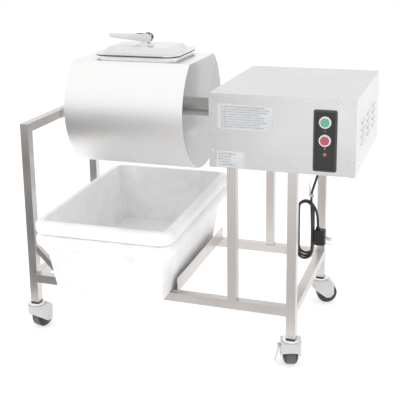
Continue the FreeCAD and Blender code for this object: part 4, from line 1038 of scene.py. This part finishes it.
# Frame
@dataclass
class FrameWelds:
    """Rippled weld beads where the tubes of the frame meet."""

    tube: float = 25.0
    length: float = 805.0
    depth: float = 455.0
    rail_top: float = 177.0
    middle_leg: float = 616.0
    bead: float = 2.6
    step: float = 1.7

    def bead_template(self) -> bpy.types.Object:
        """One ripple of a bead: a low oval dome."""
        bm = bmesh.new()
        profile = [(self.bead * MM * math.cos(a), self.bead * 0.55 * MM * math.sin(a))
                   for a in (math.radians(d) for d in (-25, 10, 45, 72))]
        lathe(bm, profile + [(0.0, self.bead * 0.55 * MM)], Matrix.Identity(4), 10)
        mesh = mesh_of("bead", bm)
        for face in mesh.polygons:
            face.use_smooth = True
        return template_object("bead", mesh)

    def seams(self) -> list[tuple[Vector, Vector, Vector]]:
        """Every seam as start, end and the way its bead faces."""
        t, top = self.tube, self.rail_top
        lines = []

        def seam(a: tuple, b: tuple, facing: tuple) -> None:
            """Add one seam at the front and its twin at the rear."""
            lines.append((Vector(a), Vector(b), Vector(facing).normalized()))
            back = [Vector((p[0], self.depth - p[1], p[2])) for p in (a, b)]
            lines.append((back[0], back[1], Vector((facing[0], -facing[1], facing[2])).normalized()))

        for x in (self.middle_leg, self.middle_leg + t):
            side = 1 if x > self.middle_leg else -1
            seam((x, 1, top), (x, t - 1, top), (side, 0, 1))
        seam((self.middle_leg + 1, t, top), (self.middle_leg + t - 1, t, top), (0, 1, 1))
        for x, side in ((t, 1), (self.length - t, -1)):
            seam((x, 1, top), (x, t - 1, top), (side, 0, 1))
            seam((x, 1, top - t), (x, t - 1, top - t), (side, 0, -1))
            seam((x, t, top - t), (x, t, top), (side, 1, 0))
        for x in (0, self.length - t):
            seam((x + 1, t, top), (x + t - 1, t, top), (0, 1, 1))
        return lines

    def build(self, palette: Palette) -> None:
        """Set the ripples along every seam."""
        tree = RepeatTree("weld_ripples", self.bead_template(), palette["machined_steel"])
        points, facing = [], []
        for start, end, way in self.seams():
            count = max(2, round((end - start).length / self.step))
            for k in range(count + 1):
                points.append(at(*start.lerp(end, k / count)))
                facing.append(way)
        mesh = tree.grow("weld_beads", points, facing, 1.0, 0.6)
        finished("weld_beads", mesh, [], "frame")


# Housing
@dataclass
class HousingTrim:
    """Screw heads, the plates on the front panel, and the small marks on the control plate."""

    panel_y: float = 1.5
    plate: Rect = (592.0, 743.0, 662.0, 727.0)
    label: Rect = (585.0, 664.0, 557.5, 600.5)
    cover_x: tuple[float, float] = (568.0, 953.0)
    cover_z: tuple[float, float] = (555.0, 755.0)
    cover_depth: float = 450.0
    screw_inset: float = 9.0
    screw_radius: float = 3.6
    screw_rise: float = 1.6

    def screw_template(self) -> bpy.types.Object:
        """Pan head with a cross recess."""
        r, h = self.screw_radius * MM, self.screw_rise * MM
        bm = bmesh.new()
        profile = [(r, 0.0), (r, h * 0.3), (r * 0.93, h * 0.66), (r * 0.74, h * 0.92), (r * 0.5, h * 1.02),
                   (0.0, h * 1.04)]
        lathe(bm, profile, Matrix.Identity(4), 24)
        head = mesh_of("screw_head", bm)
        for face in head.polygons:
            face.use_smooth = True
        bm = bmesh.new()
        bm.from_mesh(head)
        for turn in (0.0, math.pi / 2):
            arm = [Vector((x * r * 0.62, y * r * 0.11, h * 1.06))
                   for x, y in ((-1, -1), (1, -1), (1, 1), (-1, 1))]
            spun = [Matrix.Rotation(turn, 3, "Z") @ p for p in arm]
            bm.faces.new([bm.verts.new(p) for p in spun]).material_index = 1
        bm.to_mesh(head)
        bm.free()
        return template_object("screw_head", head)

    def screw_places(self) -> tuple[list[Vector], list[Vector]]:
        """Where the cover's screws sit, and which way each looks."""
        (x0, x1), (z0, z1), inset = self.cover_x, self.cover_z, self.screw_inset
        points, facing = [], []
        for face_y, way in ((0.0, (0, -1, 0)), (self.cover_depth, (0, 1, 0))):
            for x in (x0 + 44.0, x1 - 48.0):
                points.append(at(x, face_y, z1 - inset))
                facing.append(Vector(way))
            for x in (x0 + inset, x1 - inset):
                for z in (z0 + 46.0, z0 + 150.0):
                    points.append(at(x, face_y, z))
                    facing.append(Vector(way))
        for y in (126.0, 302.0):
            for x, way in ((x1, 1), (x0, -1)):
                points.append(at(x, y, z0 + 2 * inset))
                facing.append(Vector((way, 0, 0)))
        return points, facing

    def build_screws(self, palette: Palette) -> None:
        """Dressed heads over the cover's screws."""
        tree = RepeatTree("cover_screw_heads", self.screw_template(), palette["bright_steel"])
        points, facing = self.screw_places()
        mesh = tree.grow("screw_heads", points, facing, 1.04, 3.0)
        finished("screw_heads", mesh, [], "frame")

    def ruled_plate(self, name: str, box: Rect, rows: int, columns: Sequence[float], palette: Palette,
                    tint: str) -> None:
        """A thin plate with a ruled table and a line of plain dashes in each row.

        Args:
            name: the piece's name.
            box: left, right, bottom and top in millimetres.
            rows: how many ruled rows.
            columns: where upright rules stand, as shares of the width.
            palette: the finishes.
            tint: finish of the plate.
        """
        x0, x1, z0, z1 = box
        y = self.panel_y
        bm = bmesh.new()
        slab(bm, at(x0, y - 0.5, z0), at(x1, y, z1))
        bmesh.ops.bevel(bm, geom=[e for e in bm.edges if abs(e.verts[0].co.y - e.verts[1].co.y) > 1e-5],
                        offset=1.6 * MM, segments=4, affect="EDGES")
        finished(name, mesh_of(name, bm), [palette[tint]], "frame", smooth=False)
        ink = bmesh.new()
        margin = 3.0
        line = 0.45
        face = y - 0.5

        def bar(a0: float, a1: float, c0: float, c1: float) -> None:
            """One printed bar on the plate's face."""
            slab(ink, at(a0, face - 0.06, c0), at(a1, face, c1))

        height = (z1 - z0 - 2 * margin) / rows
        for row in range(rows + 1):
            z = z0 + margin + row * height
            bar(x0 + margin, x1 - margin, z - line / 2, z + line / 2)
        for share in (0.0, *columns, 1.0):
            x = x0 + margin + (x1 - x0 - 2 * margin) * share
            bar(x - line / 2, x + line / 2, z0 + margin, z1 - margin)
        rng = random.Random(len(name))
        for row in range(rows):
            z = z0 + margin + (row + 0.5) * height
            x = x0 + margin + 6.0
            end = x1 - margin - rng.uniform(8.0, 40.0)
            while x < end:
                run = rng.uniform(2.5, 7.0)
                bar(x, min(x + run, end), z - height * 0.16, z + height * 0.13)
                x += run + rng.uniform(1.2, 2.4)
        finished(name + "_rules", mesh_of(name + "_rules", ink), [palette["ink_grey"]], "frame",
                 smooth=False)

    def mark(self, text: str, x: float, y: float, z: float, height: float, palette: Palette,
             finish: str) -> None:
        """Print one plain numeral, facing front."""
        curve = bpy.data.curves.new("numeral_" + text, "FONT")
        curve.body = text
        curve.size = height * MM
        curve.align_x, curve.align_y = "CENTER", "CENTER"
        curve.extrude = 0.00005
        mesh = plain_mesh("numeral_" + text, placed("numeral_" + text, curve))
        mesh.materials.clear()
        mesh.transform(Matrix.Translation(at(x, y, z)) @ Matrix.Rotation(math.radians(90), 4, "X"))
        finished("numeral_" + text, mesh, [palette[finish]], "frame", smooth=False)

    def build(self, palette: Palette) -> None:
        """Build the trim."""
        self.build_screws(palette)
        self.ruled_plate("instruction_plate", self.plate, 9, (0.12,), palette, "plate_white")
        self.ruled_plate("rating_plate", self.label, 5, (0.5,), palette, "plate_white")
        low, high = span("control_plate")
        x = (low.x + high.x) / 2 / MM - CORNER.x / MM
        face = (low.y - CORNER.y) / MM - 0.05
        self.mark("1", x, face, 672.0, 7.0, palette, "plate_white")
        self.mark("0", x, face, 626.0, 7.0, palette, "plate_white")


# Whole machine
@dataclass
class MachineFinishes:
    """Which finish each CAD node takes."""

    plan: dict[str, tuple[str, ...]] = field(default_factory=lambda: {
        "frame_steel_x": ("long_rails", "corner_braces"),
        "frame_steel_y": ("side_rails", "drum_rail", "tub_runners"),
        "frame_steel_z": ("left_legs", "right_legs", "middle_legs"),
        "housing_steel": ("housing_cover", "front_panel", "rear_panel", "base_pan"),
        "drum_steel": ("drum_shell", "mixing_paddles", "pressure_plate"),
        # The drum ends take the steel whose colour is darkened with painted shade.
        "mirror_steel": ("drum_ends",),
        "lid_steel": ("lid",),
        "bright_steel": ("cover_screws", "bracket_bolts", "lever_bracket", "lever_rivets", "cam_lever",
                         "draw_pin", "draw_bolt", "castor_stems"),
        "machined_steel": ("bearing_bracket", "drive_plate", "stub_shaft"),
        "hub_steel": ("drive_hub", "drive_shaft"),
        "bearing_bronze": ("stub_bearing",),
        "gear_casting": ("gearbox",),
        "motor_enamel": ("motor",),
        "case_grey": ("run_capacitor",),
        "seal_rubber": ("lid_gasket",),
        "tub_plastic": ("tub_lower", "tub_upper"),
        "black_plastic": ("control_plate", "start_relay", "leg_plugs", "cord_gland"),
        "bezel_plastic": ("control_bezel",),
        "ring_plastic": ("button_rings",),
        "green_plastic": ("start_button",),
        "red_plastic": ("stop_button",),
        "lamp_plastic": ("pilot_lamp",),
        "castor_enamel": (*("castor_hood_" + c.label for c in Castor), "castor_brake_front_right"),
        "tread_rubber": tuple("castor_wheel_" + c.label for c in Castor),
        "cord_rubber": ("mains_lead", "lead_hank", "lead_tail", "mains_plug"),
    })

    def build(self, palette: Palette) -> None:
        """Dress every CAD node."""
        for finish, nodes in self.plan.items():
            palette.dress(nodes, finish)


def main() -> None:
    """Build the studio and the machine's looks, piece by piece."""
    logging.basicConfig(level=logging.INFO, format="%(name)s: %(message)s")
    Studio().build()
    palette = Palette()
    for part in (MachineFinishes(), MainsLead(), CastorWheels(), FrameWelds(), HousingTrim()):
        part.build(palette)
        log.info("built %s", type(part).__name__)


if __name__ == "__main__":
    main()
